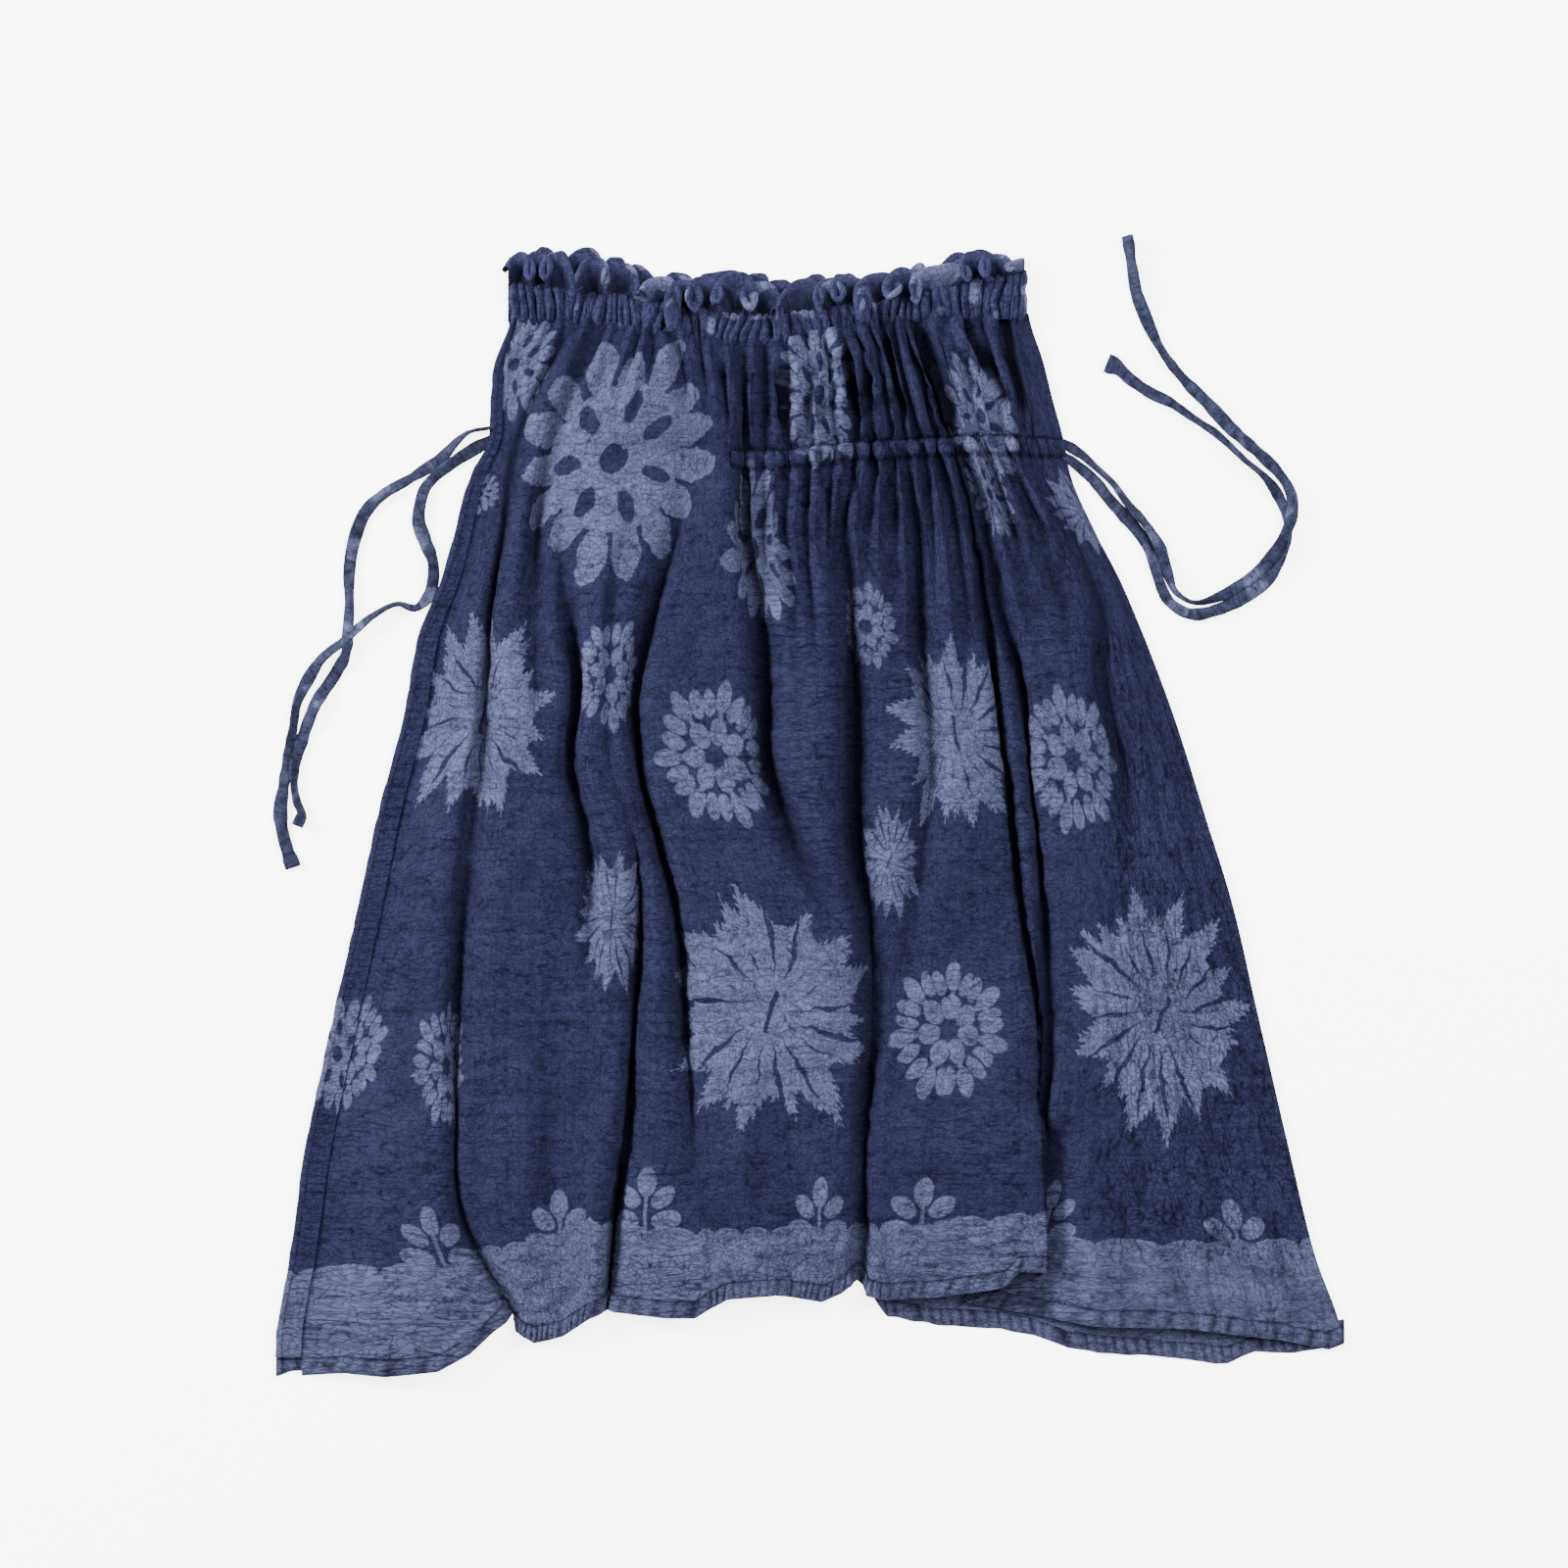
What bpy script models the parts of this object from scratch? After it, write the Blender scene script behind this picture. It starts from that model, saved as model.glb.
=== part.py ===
"""Midi skirt of crinkled indigo cotton, laid flat on its back panel.

The skirt lies face up: +X is to the right, +Y points to the waist, +Z is up and Z = 0 is the surface.
Tables and functions work in millimetres. "Drop" is the distance below the waist line, along -Y.
"""
import math

import bpy
import numpy as np

# Main sizes, mm
WAIST_Y = 368.0
WALL = 1.5
SEAM_GAP = 0.3
# Height of the front's inner face where it lies on the back
INNER_FLOOR = WALL + 0.4
HEM_WIDTH = 12.0
HEM_THICKNESS = 1.9
ROLL_HEIGHT = 4.6
ROLL_STEPS = 7
CASING_LEFT = -209.0
CASING_RIGHT = 149.0
CASING_THICKNESS = 5.5
PLEAT_RISE = 1.6
RUFFLE_WALL = 1.0
TIE_RADIUS = 1.9
TIE_POINTS = 28
TO_METRES = 0.001

# Nominal drops of the front panel's first row and of its hem
PANEL_TOP = 27.0
PANEL_END = 715.0
# Passes that even out the front's normals with their neighbours
NORMALS_EVENED = 2

# Outline of the laid skirt: drop, left edge, right edge, width of the back that rolls over on the left
SIDES = (
    (-12, -211, 149, 4),
    (27, -208, 153, 5),
    (54, -218, 162, 6),
    (78, -221, 168, 8),
    (112, -224, 177, 9),
    (129, -233, 180, 10),
    (172, -246, 198, 12),
    (207, -256, 216, 13),
    (235, -268, 228, 14),
    (298, -281, 252, 15),
    (371, -300, 275, 16),
    (422, -311, 291, 17),
    (507, -330, 311, 18),
    (602, -350, 333, 18),
    (672, -360, 350, 18),
    (733, -370, 370, 18),
    (760, -370, 371, 18),
)

# Waist: x, top of casing, bottom of casing, top of ruffle (drops)
WAIST = (
    (-209, -1, 27, -19),
    (-168, 5, 26, -23),
    (-126, 10, 32, -12),
    (-86, 17, 39, -3),
    (-52, 20, 42, -7),
    (-24, 21, 42, 0),
    (10, 17, 35, -4),
    (47, 12, 28, -7),
    (87, 5, 24, -12),
    (128, -6, 22, -22),
    (149, -9, 24, -18),
)

# Fold lines of the front, left to right; "lip" and "foot" are the two sides of the overlapping fold
FOLD_NAMES = ("v1", "v2", "v2b", "v3b", "v3", "v4", "v5", "v6", "lip", "foot", "v9")
# Where each fold line runs: drop, then x of each fold
FOLD_X = (
    (31, -165, -146, -126, -109, -92, -47, 24, 50, 71, 78, 137),
    (75, -189, -167, -143, -116, -86, -47, 29, 61, 86, 92, 146),
    (119, -205, -181, -160, -126, -86, -47, 31, 67, 99, 107, 152),
    (170, -212, -189, -171, -126, -92, -47, 23, 73, 112, 121, 176),
    (224, -220, -190, -169, -137, -109, -37, 27, 75, 120, 131, 199),
    (279, -224, -190, -162, -140, -121, -31, 29, 79, 128, 147, 203),
    (333, -228, -190, -166, -137, -118, -29, 29, 84, 135, 152, 214),
    (388, -235, -189, -155, -121, -105, -10, 31, 78, 141, 159, 220),
    (442, -241, -189, -152, -116, -92, 15, 41, 73, 147, 162, 224),
    (510, -245, -191, -152, -121, -87, 20, 43, 65, 156, 165, 231),
    (578, -245, -191, -155, -126, -82, 16, 39, 61, 152, 160, 237),
    (646, -241, -188, -156, -135, -78, 13, 37, 57, 124, 132, 248),
    (714, -205, -181, -160, -141, -72, 8, 34, 54, 92, 102, 261),
)
# How deep each fold line is, as a share of the ridge height
FOLD_DEPTH = (
    (31, .3, .2, .1, .1, .2, .3, .4, .5, .6, .6, .4),
    (75, .7, .4, 0, 0, .1, .5, .6, .6, .8, .8, .6),
    (119, .9, .7, 0, 0, .2, .4, .4, .4, .5, .5, .4),
    (170, 1, .7, .1, 0, .4, .6, .7, .7, .7, .7, .5),
    (224, 1, .5, .4, .1, .7, .8, .9, .8, .9, .9, .5),
    (279, .8, .3, .8, .1, .9, 1, 1, .7, 1, 1, .7),
    (333, .5, .1, .8, .1, 1, 1, 1, .5, 1, 1, .6),
    (388, .4, 0, .7, .3, 1, .6, 1, .4, 1, 1, .3),
    (442, .7, 0, .4, .8, .9, .2, .9, .3, 1, 1, .1),
    (510, .8, 0, .1, .9, .8, 0, .8, .1, .9, .9, 0),
    (578, .8, 0, 0, .9, .3, 0, .7, 0, .9, .9, 0),
    (646, .8, 0, 0, .9, 0, 0, .7, 0, 1, 1, 0),
    (714, .7, 0, 0, .8, 0, 0, .8, 0, 1, 1, 0),
)
# Half width of each fold's groove at three drops
FOLD_WIDTH = (
    (31, 5, 6, 5, 5, 5, 5, 5, 5, 4, 4, 5),
    (333, 7, 10, 7, 5, 8, 10, 13, 10, 5, 6, 8),
    (646, 6, 6, 5, 6, 5, 8, 5, 6, 3, 5, 8),
)
# Ridges between the fold lines: columns of the mesh, gathers at the waist, height of the ridge
RIDGES = (
    (8, 3, 11),
    (4, 1, 14),
    (4, 1, 11),
    (4, 2, 15),
    (4, 1, 15),
    (7, 3, 17),
    (12, 5, 17),
    (7, 3, 15),
    (7, 3, 15),
    (3, 1, 12),
    (8, 3, 13),
    (7, 2, 9),
)
FIRST_HIP_RIDGE = 6
# Most of the ridge height that a small gather takes away
GATHER_DEPTH = 0.8
LIP = FOLD_NAMES.index("lip") + 1
FOOT = FOLD_NAMES.index("foot") + 1
# Overlapping fold near the hem: drop, how far the lip lies over to the right
LIP_OVER = ((442, 0), (562, 0), (612, 20), (655, 44), (714, 71), (760, 71))
# Slope of the tucked layer where the lap begins
FOLD_TILT = 14.0
# The layer under the lip stays down until this far past it
LIP_CLEAR = 34.0
# How the height and the gathers change down the skirt: drop, ridge share, left gathers, hip gathers
RELIEF = (
    (27, .3, .8, .7),
    (50, .65, .6, .9),
    (75, .8, .2, 1),
    (100, .75, 0, 1),
    (119, .55, 0, .75),
    (140, .75, 0, 1),
    (170, .95, 0, .8),
    (210, 1, 0, .45),
    (250, 1, 0, .15),
    (300, 1, 0, 0),
    (500, .95, 0, 0),
    (650, .8, 0, 0),
    (715, .65, 0, 0),
)
# Front hem: place across the fold lines (0 left seam, 1 first fold, ...), drop
FRONT_HEM = (
    (0, 757), (.2, 755), (.4, 757), (.65, 753), (.8, 741), (1, 713),
    (1.12, 727), (1.6, 734), (2, 732), (2.5, 729), (3, 722), (4, 708),
    (4.12, 712), (4.6, 716), (4.9, 716), (5.2, 703), (5.6, 700), (6, 705),
    (6.5, 699), (7, 689), (7.3, 701), (8, 704), (8.4, 702), (8.78, 695),
    (8.86, 684), (9, 685), (9.34, 685), (9.66, 706), (10, 706), (10.4, 717), (10.6, 722),
    (11, 724), (11.6, 732), (11.9, 739), (12, 735),
)
# Back hem: x, drop
BACK_HEM = (
    (-371, 756.9), (-256, 740), (-205, 707), (-141, 698), (-56, 690), (28, 686),
    (40, 698), (54, 716), (86, 722), (133, 725), (156, 730), (180, 739),
    (234, 744), (290, 749), (309, 741), (337, 742), (371, 735),
)
ROW_DROPS = (
    27.3, 42, 58, 76, 94, 110, 122, 134, 152, 178, 208, 240, 275,
    315, 360, 410, 460, 512, 562, 610, 655, 702.7,
)
CHANNEL_ROWS = (5, 7)
CHANNEL_LIFT = 0.5
CHANNEL_DROP = 122.0
# Rise of the hip channel towards the right side
CHANNEL_RISE = ((-60, 0), (-20, 0), (25, 6), (125, 11), (182, 8))

PLEATS = 58
FRONT_CURLS = 20
BACK_CURLS = 12

# Free ends of the drawstring: x, drop, height above the surface
TIE_LEFT_OUTER = (
    (-224.8, 100.6, 0), (-233, 102, 0), (-258, 123, 0), (-280, 137, 0), (-294, 145, 0),
    (-307, 157, 0), (-315, 176, 0), (-319, 197, 0), (-319, 225, 1), (-320, 243, 4.2),
    (-321, 256, 3.4), (-329, 271, 0), (-341, 289, 0), (-348, 305, 0), (-353, 320, 0),
    (-357, 336, 0), (-357, 350, 0), (-355, 360, 0), (-352, 368, 0), (-355, 376, 0),
)
TIE_LEFT_INNER = (
    (-225.9, 110.6, 0), (-247, 124, 0), (-259, 133, 0), (-266, 141, 0), (-270, 153, 0),
    (-271, 165, 0), (-266, 180, 0), (-261, 193, 0), (-261, 206, 0), (-265, 218, 0),
    (-273, 225, 0), (-285, 222, 0), (-299, 228, 0), (-311, 237, 0), (-322, 247, 0),
    (-338, 260, 0), (-348, 275, 0), (-355, 290, 0), (-358, 309, 0), (-361, 324, 0),
    (-363, 338, 0), (-365, 351, 0), (-367, 365, 0), (-365, 382, 0), (-361, 396, 0),
    (-358, 405, 0),
)
TIE_RIGHT_UPPER = (
    (178.9, 112.2, 0), (189, 119, 0), (200, 129, 0), (209, 137, 0), (220, 152, 0),
    (233, 167, 0), (243, 183, 0), (248, 200, 0), (254, 214, 0), (265, 221, 0),
    (284, 217, 0), (299, 209, 0), (312, 199, 0), (321, 188, 3.2), (329, 175, 4.2),
    (334, 161, 4.2), (334, 147, 2), (326, 132, 0), (312, 118, 0), (294, 102, 0),
    (275, 82, 0), (262, 69, 0), (250, 55, 0), (241, 41, 0), (233, 23, 0),
    (227, 8, 0), (224, -8, 0), (222, -21, 0), (220, -33, 0),
)
TIE_RIGHT_LOWER = (
    (180.6, 122.2, 0), (195, 134, 0), (209, 151, 0), (222, 165, 0), (232, 178, 0),
    (238, 190, 0), (242, 205, 0), (249, 220, 0), (264, 229, 0), (283, 226, 0),
    (300, 218, 0), (317, 206, 0), (327, 191, 0), (332, 175, 0), (331, 162, 0),
    (326, 149, 0), (318, 137, 0), (300, 121, 0), (283, 105, 0), (264, 92, 0),
    (251, 83, 0), (237, 76, 0), (222, 66, 0), (213, 58, 0), (206, 55, 0),
)


def column(table, index):
    """One named column of a table, as an array."""
    return np.array([row[index] for row in table], dtype=float)


def smooth_curve(at, stations, values):
    """Smooth curve through (stations, values), held level past both ends."""
    stations = np.asarray(stations, dtype=float)
    values = np.asarray(values, dtype=float)
    at = np.clip(at, stations[0], stations[-1])
    slopes = np.gradient(values, stations)
    i = np.clip(np.searchsorted(stations, at, side="right") - 1, 0, len(stations) - 2)
    span = stations[i + 1] - stations[i]
    t = (at - stations[i]) / span
    first = (1 + 2 * t) * (1 - t) ** 2 * values[i] + t * (1 - t) ** 2 * span * slopes[i]
    second = t * t * (3 - 2 * t) * values[i + 1] - t * t * (1 - t) * span * slopes[i + 1]
    return first + second


def smooth_step(at, start, end):
    """0 before start, 1 after end."""
    t = np.clip((np.asarray(at, dtype=float) - start) / (end - start), 0, 1)
    return t * t * (3 - 2 * t)


def side(drop, index):
    return smooth_curve(drop, column(SIDES, 0), column(SIDES, index))


def waist_line(x, index):
    return smooth_curve(x, column(WAIST, 0), column(WAIST, index))


def fold_lines(drop):
    """x of the left seam, every fold line and the right edge at these drops."""
    left = side(drop, 1) + side(drop, 3) + SEAM_GAP
    lines = [smooth_curve(drop, column(FOLD_X, 0), column(FOLD_X, k + 1)) for k in range(len(FOLD_NAMES))]
    return [left, *lines, side(drop, 2)]


def across(place, drop):
    """x at a place counted across the fold lines, before the overlapping fold is laid over."""
    lines = np.stack(fold_lines(drop))
    k = np.clip(np.floor(place).astype(int), 0, len(lines) - 2)
    part = place - k
    low = np.take_along_axis(lines, k[None], axis=0)[0]
    high = np.take_along_axis(lines, k[None] + 1, axis=0)[0]
    return low + (high - low) * part


def real_drop(place, nominal, x):
    """Drop of a point: rows follow the casing at the top, the hip channel and the hem."""
    top = (waist_line(x, 2) - PANEL_TOP) * (1 - smooth_step(nominal, PANEL_TOP, 105))
    hem = np.interp(place, column(FRONT_HEM, 0), column(FRONT_HEM, 1)) - PANEL_END
    low = hem * smooth_step(nominal, 330, PANEL_END)
    rise = np.interp(x, column(CHANNEL_RISE, 0), column(CHANNEL_RISE, 1))
    hip = -rise * np.exp(-(((nominal - CHANNEL_DROP) / 45) ** 2)) * smooth_step(nominal, PANEL_TOP, 90)
    return nominal + top + low + hip


def ridge_share(place, drop, lines):
    """Share of the ridge height that is left at a place: 1 on a ridge, near 0 in a deep groove."""
    x = across(place, drop)
    share = np.ones_like(x)
    for k in range(len(FOLD_NAMES)):
        depth = smooth_curve(drop, column(FOLD_DEPTH, 0), column(FOLD_DEPTH, k + 1))
        width = smooth_curve(drop, column(FOLD_WIDTH, 0), column(FOLD_WIDTH, k + 1))
        away = np.abs(x - lines[k + 1]) / width
        share = share * (1 - np.clip(depth, 0, 1) * np.exp(-(away**2.4)))
    return share


def gathers(place, drop):
    """Share of the height that the small gathers take away."""
    k = np.clip(np.floor(place).astype(int), 0, len(RIDGES) - 1)
    count = column(RIDGES, 1)[k]
    left = np.interp(drop, column(RELIEF, 0), column(RELIEF, 2))
    hip = np.interp(drop, column(RELIEF, 0), column(RELIEF, 3))
    amount = np.where(k >= FIRST_HIP_RIDGE, hip, left)
    return GATHER_DEPTH * amount * (0.5 + 0.5 * np.cos(2 * math.pi * count * (place - k)))


def front_surface(place, nominal):
    """Inner face of the front panel, in mm, at places across and nominal drops down."""
    place, nominal = np.broadcast_arrays(np.asarray(place, float), np.asarray(nominal, float))
    drop = real_drop(place, nominal, across(place, nominal))
    x = across(place, drop)
    lines = fold_lines(drop)
    middles = np.arange(len(RIDGES)) + 0.5
    crest = np.interp(place, middles, column(RIDGES, 2))
    share = np.interp(nominal, column(RELIEF, 0), column(RELIEF, 1))
    edge = (1 - np.exp(-(((x - lines[0]) / 26) ** 2))) * (1 - np.exp(-(((lines[-1] - x) / 30) ** 2)))
    height = crest * share * edge * ridge_share(place, drop, lines) * (1 - gathers(place, drop))
    waist_lift = (CASING_THICKNESS + SEAM_GAP - INNER_FLOOR) * np.exp(-(((nominal - PANEL_TOP) / 22) ** 2))
    left_lift = 1.2 * np.exp(-(((x - lines[0]) / 12) ** 2))
    z = INNER_FLOOR + waist_lift + left_lift + height
    return lay_over(place, drop, x, z, crest * share, lines)


def lay_over(place, drop, x, z, crest, lines):
    """Lays the overlapping fold to the right: the lip over, a tucked layer back under it, the foot on the back."""
    over = np.interp(drop, column(LIP_OVER, 0), column(LIP_OVER, 1))
    lip = lines[LIP] + over
    foot = lines[FOOT]
    lapped = smooth_step(lip - foot, -4, 4)
    part = np.clip(place - (LIP - 1), 0, 1)
    before = (place >= LIP - 1) & (place < LIP)
    top = INNER_FLOOR + crest
    x = np.where(before, x + over * part**1.5, x)
    z = np.where(before, z + lapped * smooth_step(part, 0.4, 0.95) * (top - z), z)
    middle = INNER_FLOOR + 2 * HEM_THICKNESS + 0.7
    between = np.clip(place - LIP, 0, 1)
    inside = (place >= LIP) & (place <= FOOT)
    groove_x = lip + (foot - lip) * between
    tucked_x = lip + (foot - lip) * smooth_step(between, 0.3, 0.7)
    tucked_z = top + (middle - top) * smooth_step(between, 0, 0.3) + (INNER_FLOOR - middle) * smooth_step(between, 0.7, 1)
    tilt = FOLD_TILT * (1 - smooth_step(lip - foot, 2, 14)) * np.cos(math.pi * between) * between * (1 - between)
    tucked_z = tucked_z + tilt
    x = np.where(inside, groove_x + lapped * (tucked_x - groove_x), x)
    z = np.where(inside, z + lapped * (tucked_z - z), z)
    under = lapped * (1 - smooth_step(x, lip, lip + LIP_CLEAR))
    z = np.where(place > FOOT, z + under * (INNER_FLOOR - z), z)
    return np.stack([x, WAIST_Y - drop, z], axis=-1)


def front_columns(first=0, last=len(RIDGES)):
    """Places of the mesh columns, closer together beside the fold lines."""
    places = []
    for k in range(first, last):
        count = RIDGES[k][0]
        t = np.arange(count) / count
        closer = {LIP: 0, FOOT: 0.15}.get(k, 0.5)
        places.extend(k + t - closer * np.sin(2 * math.pi * t) / (2 * math.pi))
    places.append(float(last))
    return np.array(places)


def unit(vectors):
    return vectors / np.maximum(np.linalg.norm(vectors, axis=-1, keepdims=True), 1e-9)


def unit_normals(points, evened=0):
    """Normal at each point of a grid, to +Z where rows run down and columns run right; upright along its edges.

    Evened out with the neighbours this many times, so that a wall keeps clear of itself in a tight fold.
    """
    down = np.gradient(points, axis=0)
    right = np.gradient(points, axis=1)
    normal = unit(np.cross(down, right))
    for _ in range(evened):
        normal[:, 1:-1] = unit(normal[:, :-2] + 2 * normal[:, 1:-1] + normal[:, 2:])
        normal[1:-1] = unit(normal[:-2] + 6 * normal[1:-1] + normal[2:])
    normal[[0, -1], :, 1] = 0
    normal[:, [0, -1], 0] = 0
    return unit(normal)


def cloth_material(name, colour):
    material = bpy.data.materials.new(name)
    material.use_nodes = True
    shader = material.node_tree.nodes["Principled BSDF"]
    shader.inputs["Base Color"].default_value = (*colour, 1)
    shader.inputs["Roughness"].default_value = 0.9
    shader.inputs["Metallic"].default_value = 0
    return material


def closed_wall(name, inner, outer, material):
    """Closed solid between two grids (mm); outer lies above inner where rows run down and columns run right."""
    rows, columns = inner.shape[:2]
    count = rows * columns
    vertices = np.concatenate([inner.reshape(-1, 3), outer.reshape(-1, 3)]) * TO_METRES
    faces = []
    for i in range(rows - 1):
        for j in range(columns - 1):
            a = i * columns + j
            b, c, d = a + 1, a + columns + 1, a + columns
            faces += [(a, c, d), (a, b, c)]
            faces += [(a + count, d + count, c + count), (a + count, c + count, b + count)]
    ring = list(range(columns))
    ring += [i * columns + columns - 1 for i in range(1, rows)]
    ring += [(rows - 1) * columns + j for j in range(columns - 2, -1, -1)]
    ring += [i * columns for i in range(rows - 2, 0, -1)]
    for a, b in zip(ring, ring[1:] + ring[:1], strict=True):
        faces += [(a, a + count, b + count), (a, b + count, b)]
    mesh = bpy.data.meshes.new(name)
    mesh.from_pydata(vertices.tolist(), [], faces)
    mesh.shade_smooth()
    mesh.set_sharp_from_angle(angle=math.radians(50))
    piece = bpy.data.objects.new(name, mesh)
    bpy.context.collection.objects.link(piece)
    mesh.materials.append(material)
    return piece


def front_grid():
    """Inner face and normals of the front, panel rows first and then the two rows of its hem."""
    rows = np.array([*ROW_DROPS, PANEL_END - HEM_WIDTH + 2 * SEAM_GAP, PANEL_END])[:, None]
    inner = front_surface(front_columns()[None, :], rows)
    return inner, unit_normals(inner, NORMALS_EVENED)


def front_panel(material):
    inner, normals = front_grid()
    closed_wall("front_panel", inner[:-2], (inner + WALL * normals)[:-2], material)


def front_hem(material):
    """Turned and stitched edge of the front panel."""
    inner, normals = front_grid()
    thickness = np.array([WALL, HEM_THICKNESS])[:, None, None]
    normals[-2] = normals[-3]
    closed_wall("front_hem", inner[-2:], inner[-2:] + thickness * normals[-2:], material)


def hip_channel(material):
    """Drawstring channel on the right half of the front, made from the panel's own points moved out."""
    first, last = CHANNEL_ROWS
    surface, normals = front_grid()
    start = sum(row[0] for row in RIDGES[:FIRST_HIP_RIDGE])
    part = (slice(first, last + 1), slice(start, -2))
    inner = surface[part] + (WALL + CHANNEL_LIFT) * normals[part]
    closed_wall("hip_channel", inner, inner + WALL * normals[part], material)


def back_columns(drops):
    """x of the back's flat columns at a grid of drops: they fan out to the corners of its hem."""
    left = side(drops, 1) + ROLL_HEIGHT / 2
    right = side(drops, 2)
    corners = column(BACK_HEM, 0)[::-1]
    return right + (left - right) * (corners[0] - corners) / (corners[0] - corners[-1])


def back_drops(x, shares, hem_above):
    """Drop of each point of the back, between the casing and the back hem."""
    top = waist_line(x, 2) + 2 * SEAM_GAP
    hem = column(BACK_HEM, 1)[::-1] - hem_above
    return top + (hem - top) * shares


def back_faces():
    """Outer and inner grid of the back: flat, with its left edge rolled up and over to the side seam."""
    nominal = np.array(ROW_DROPS)
    seam = real_drop(0 * nominal, nominal, side(nominal, 1))
    last = BACK_HEM[0][1] - HEM_WIDTH - SEAM_GAP
    shares = np.clip((seam - seam[0]) / (last - seam[0]), 0, 1)[:, None]
    shares[-1] = 1
    drops = back_drops(back_columns(nominal[:, None]), shares, HEM_WIDTH + SEAM_GAP)
    x_flat = back_columns(drops)
    edge = drops[:, -1:]
    left = side(edge, 1)
    radius = ROLL_HEIGHT / 2
    angles = np.linspace(0, math.pi, ROLL_STEPS)[None, 1:]
    drops = np.concatenate([drops, np.repeat(edge, ROLL_STEPS, axis=1)], axis=1)
    faces = []
    for bend, base in ((radius, 0.0), (radius - WALL, WALL)):
        over = left + side(edge, 3)
        x = np.concatenate([x_flat, left + radius - bend * np.sin(angles), over], axis=1)
        turned = radius - bend * np.cos(angles) + 0 * left
        z = np.concatenate([0 * x_flat + base, turned, 0 * over + ROLL_HEIGHT - base], axis=1)
        faces.append(np.stack([x, WAIST_Y - drops, z], axis=-1))
    return faces


def back_panel(material):
    outer, inner = back_faces()
    closed_wall("back_panel", inner, outer, material)


def back_hem(material):
    """Turned edge of the back panel, the same section carried on down."""
    down = np.array([[[0, -SEAM_GAP, 0]], [[0, -SEAM_GAP - HEM_WIDTH, 0]]])
    outer, inner = (face[-1][None] + down for face in back_faces())
    closed_wall("back_hem", inner, outer, material)


def front_casing(material):
    """Shirred elastic casing: a plain inside with fine upright pleats outside."""
    columns = 2 * PLEATS + 1
    x = np.repeat(np.linspace(CASING_LEFT + 1, CASING_RIGHT, columns)[None, :], 4, axis=0)
    part = np.linspace(0, 1, 4)[:, None]
    drop = waist_line(x, 1) + (waist_line(x, 2) - waist_line(x, 1)) * part
    pleat = np.where(np.arange(columns) % 2 == 1, 1.0, -1.0)[None, :]
    uneven = 1 + 0.35 * np.sin(np.arange(columns) * 1.7)[None, :]
    crown = 1 - (2 * part - 1) ** 2
    low = CASING_THICKNESS + SEAM_GAP
    inner = np.stack([x, WAIST_Y - drop, 0 * x + low], axis=-1)
    top = low + 3.4 + PLEAT_RISE * pleat * uneven * (0.6 + 0.4 * crown) + 0.8 * crown
    outer = np.stack([x, WAIST_Y - drop, top], axis=-1)
    closed_wall("front_casing", inner, outer, material)


def back_casing_columns():
    """x of the back casing's corners, shared with the back panel below it."""
    shared = back_columns(np.array([[PANEL_TOP]]))[0]
    return np.array([CASING_RIGHT, *shared[(shared > CASING_LEFT + 1) & (shared < CASING_RIGHT - 1)], CASING_LEFT])


def back_casing(material):
    """Back half of the waist casing, flat where it rests."""
    x = back_casing_columns()
    drop = np.stack([waist_line(x, 1), waist_line(x, 2)])
    x = np.stack([x, x])
    low = np.stack([x, WAIST_Y - drop, 0 * x], axis=-1)
    closed_wall("back_casing", low + np.array([0, 0, CASING_THICKNESS]), low, material)


def ruffle(name, curls, steps, rows, levels, reach, material, corners=None):
    """Self ruffle above a casing: a wall that waves up and down and curls forward at its crests."""
    root, middle, wave, curl = levels
    columns = curls * steps + 1
    t = np.linspace(0, 1, columns)[None, :]
    part = np.linspace(0, 1, rows)[:, None]
    phase = 2 * math.pi * curls * (t + 0.006 * np.sin(2 * math.pi * 3.3 * t) + 0.004 * np.sin(2 * math.pi * 7.1 * t))
    size = 1 + 0.25 * np.sin(phase * 0.37 + 1)
    x = -208.5 + 357.0 * t + 0 * part
    corners = corners if corners is not None else x[0]
    top = np.interp(x, corners, waist_line(corners, 1)) - SEAM_GAP
    height = (waist_line(x, 1) - waist_line(x, 3)) * reach
    crest = 0.5 + 0.5 * np.cos(phase)
    drop = top - height * part + curl * size * crest * part**2
    z = root + (middle - root) * part + wave * size * np.cos(phase) * (0.15 + 0.85 * part)
    surface = np.stack([x, WAIST_Y - drop, z], axis=-1)
    normals = unit_normals(surface)
    half = RUFFLE_WALL / 2
    closed_wall(name, surface - half * normals, surface + half * normals, material)


def tie(name, route, material):
    """One free end of the drawstring, a narrow cloth tube on the surface."""
    route = np.array(route, dtype=float)
    steps = np.linalg.norm(np.diff(route[:, :2], axis=0), axis=1)
    along = np.concatenate([[0], np.cumsum(steps)])
    at = np.linspace(0, along[-1], TIE_POINTS)
    x, drop, lift = (smooth_curve(at, along, route[:, i]) for i in range(3))
    curve = bpy.data.curves.new(name, "CURVE")
    curve.dimensions = "3D"
    curve.bevel_depth = TIE_RADIUS * TO_METRES
    curve.bevel_resolution = 2
    curve.use_fill_caps = True
    spline = curve.splines.new("POLY")
    spline.points.add(TIE_POINTS - 1)
    for i in range(TIE_POINTS):
        height = TIE_RADIUS + 0.1 + max(lift[i], 0)
        place = np.array([x[i], WAIST_Y - drop[i], height]) * TO_METRES
        spline.points[i].co = (*place, 1)
    curve.materials.append(material)
    bpy.context.collection.objects.link(bpy.data.objects.new(name, curve))


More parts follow.
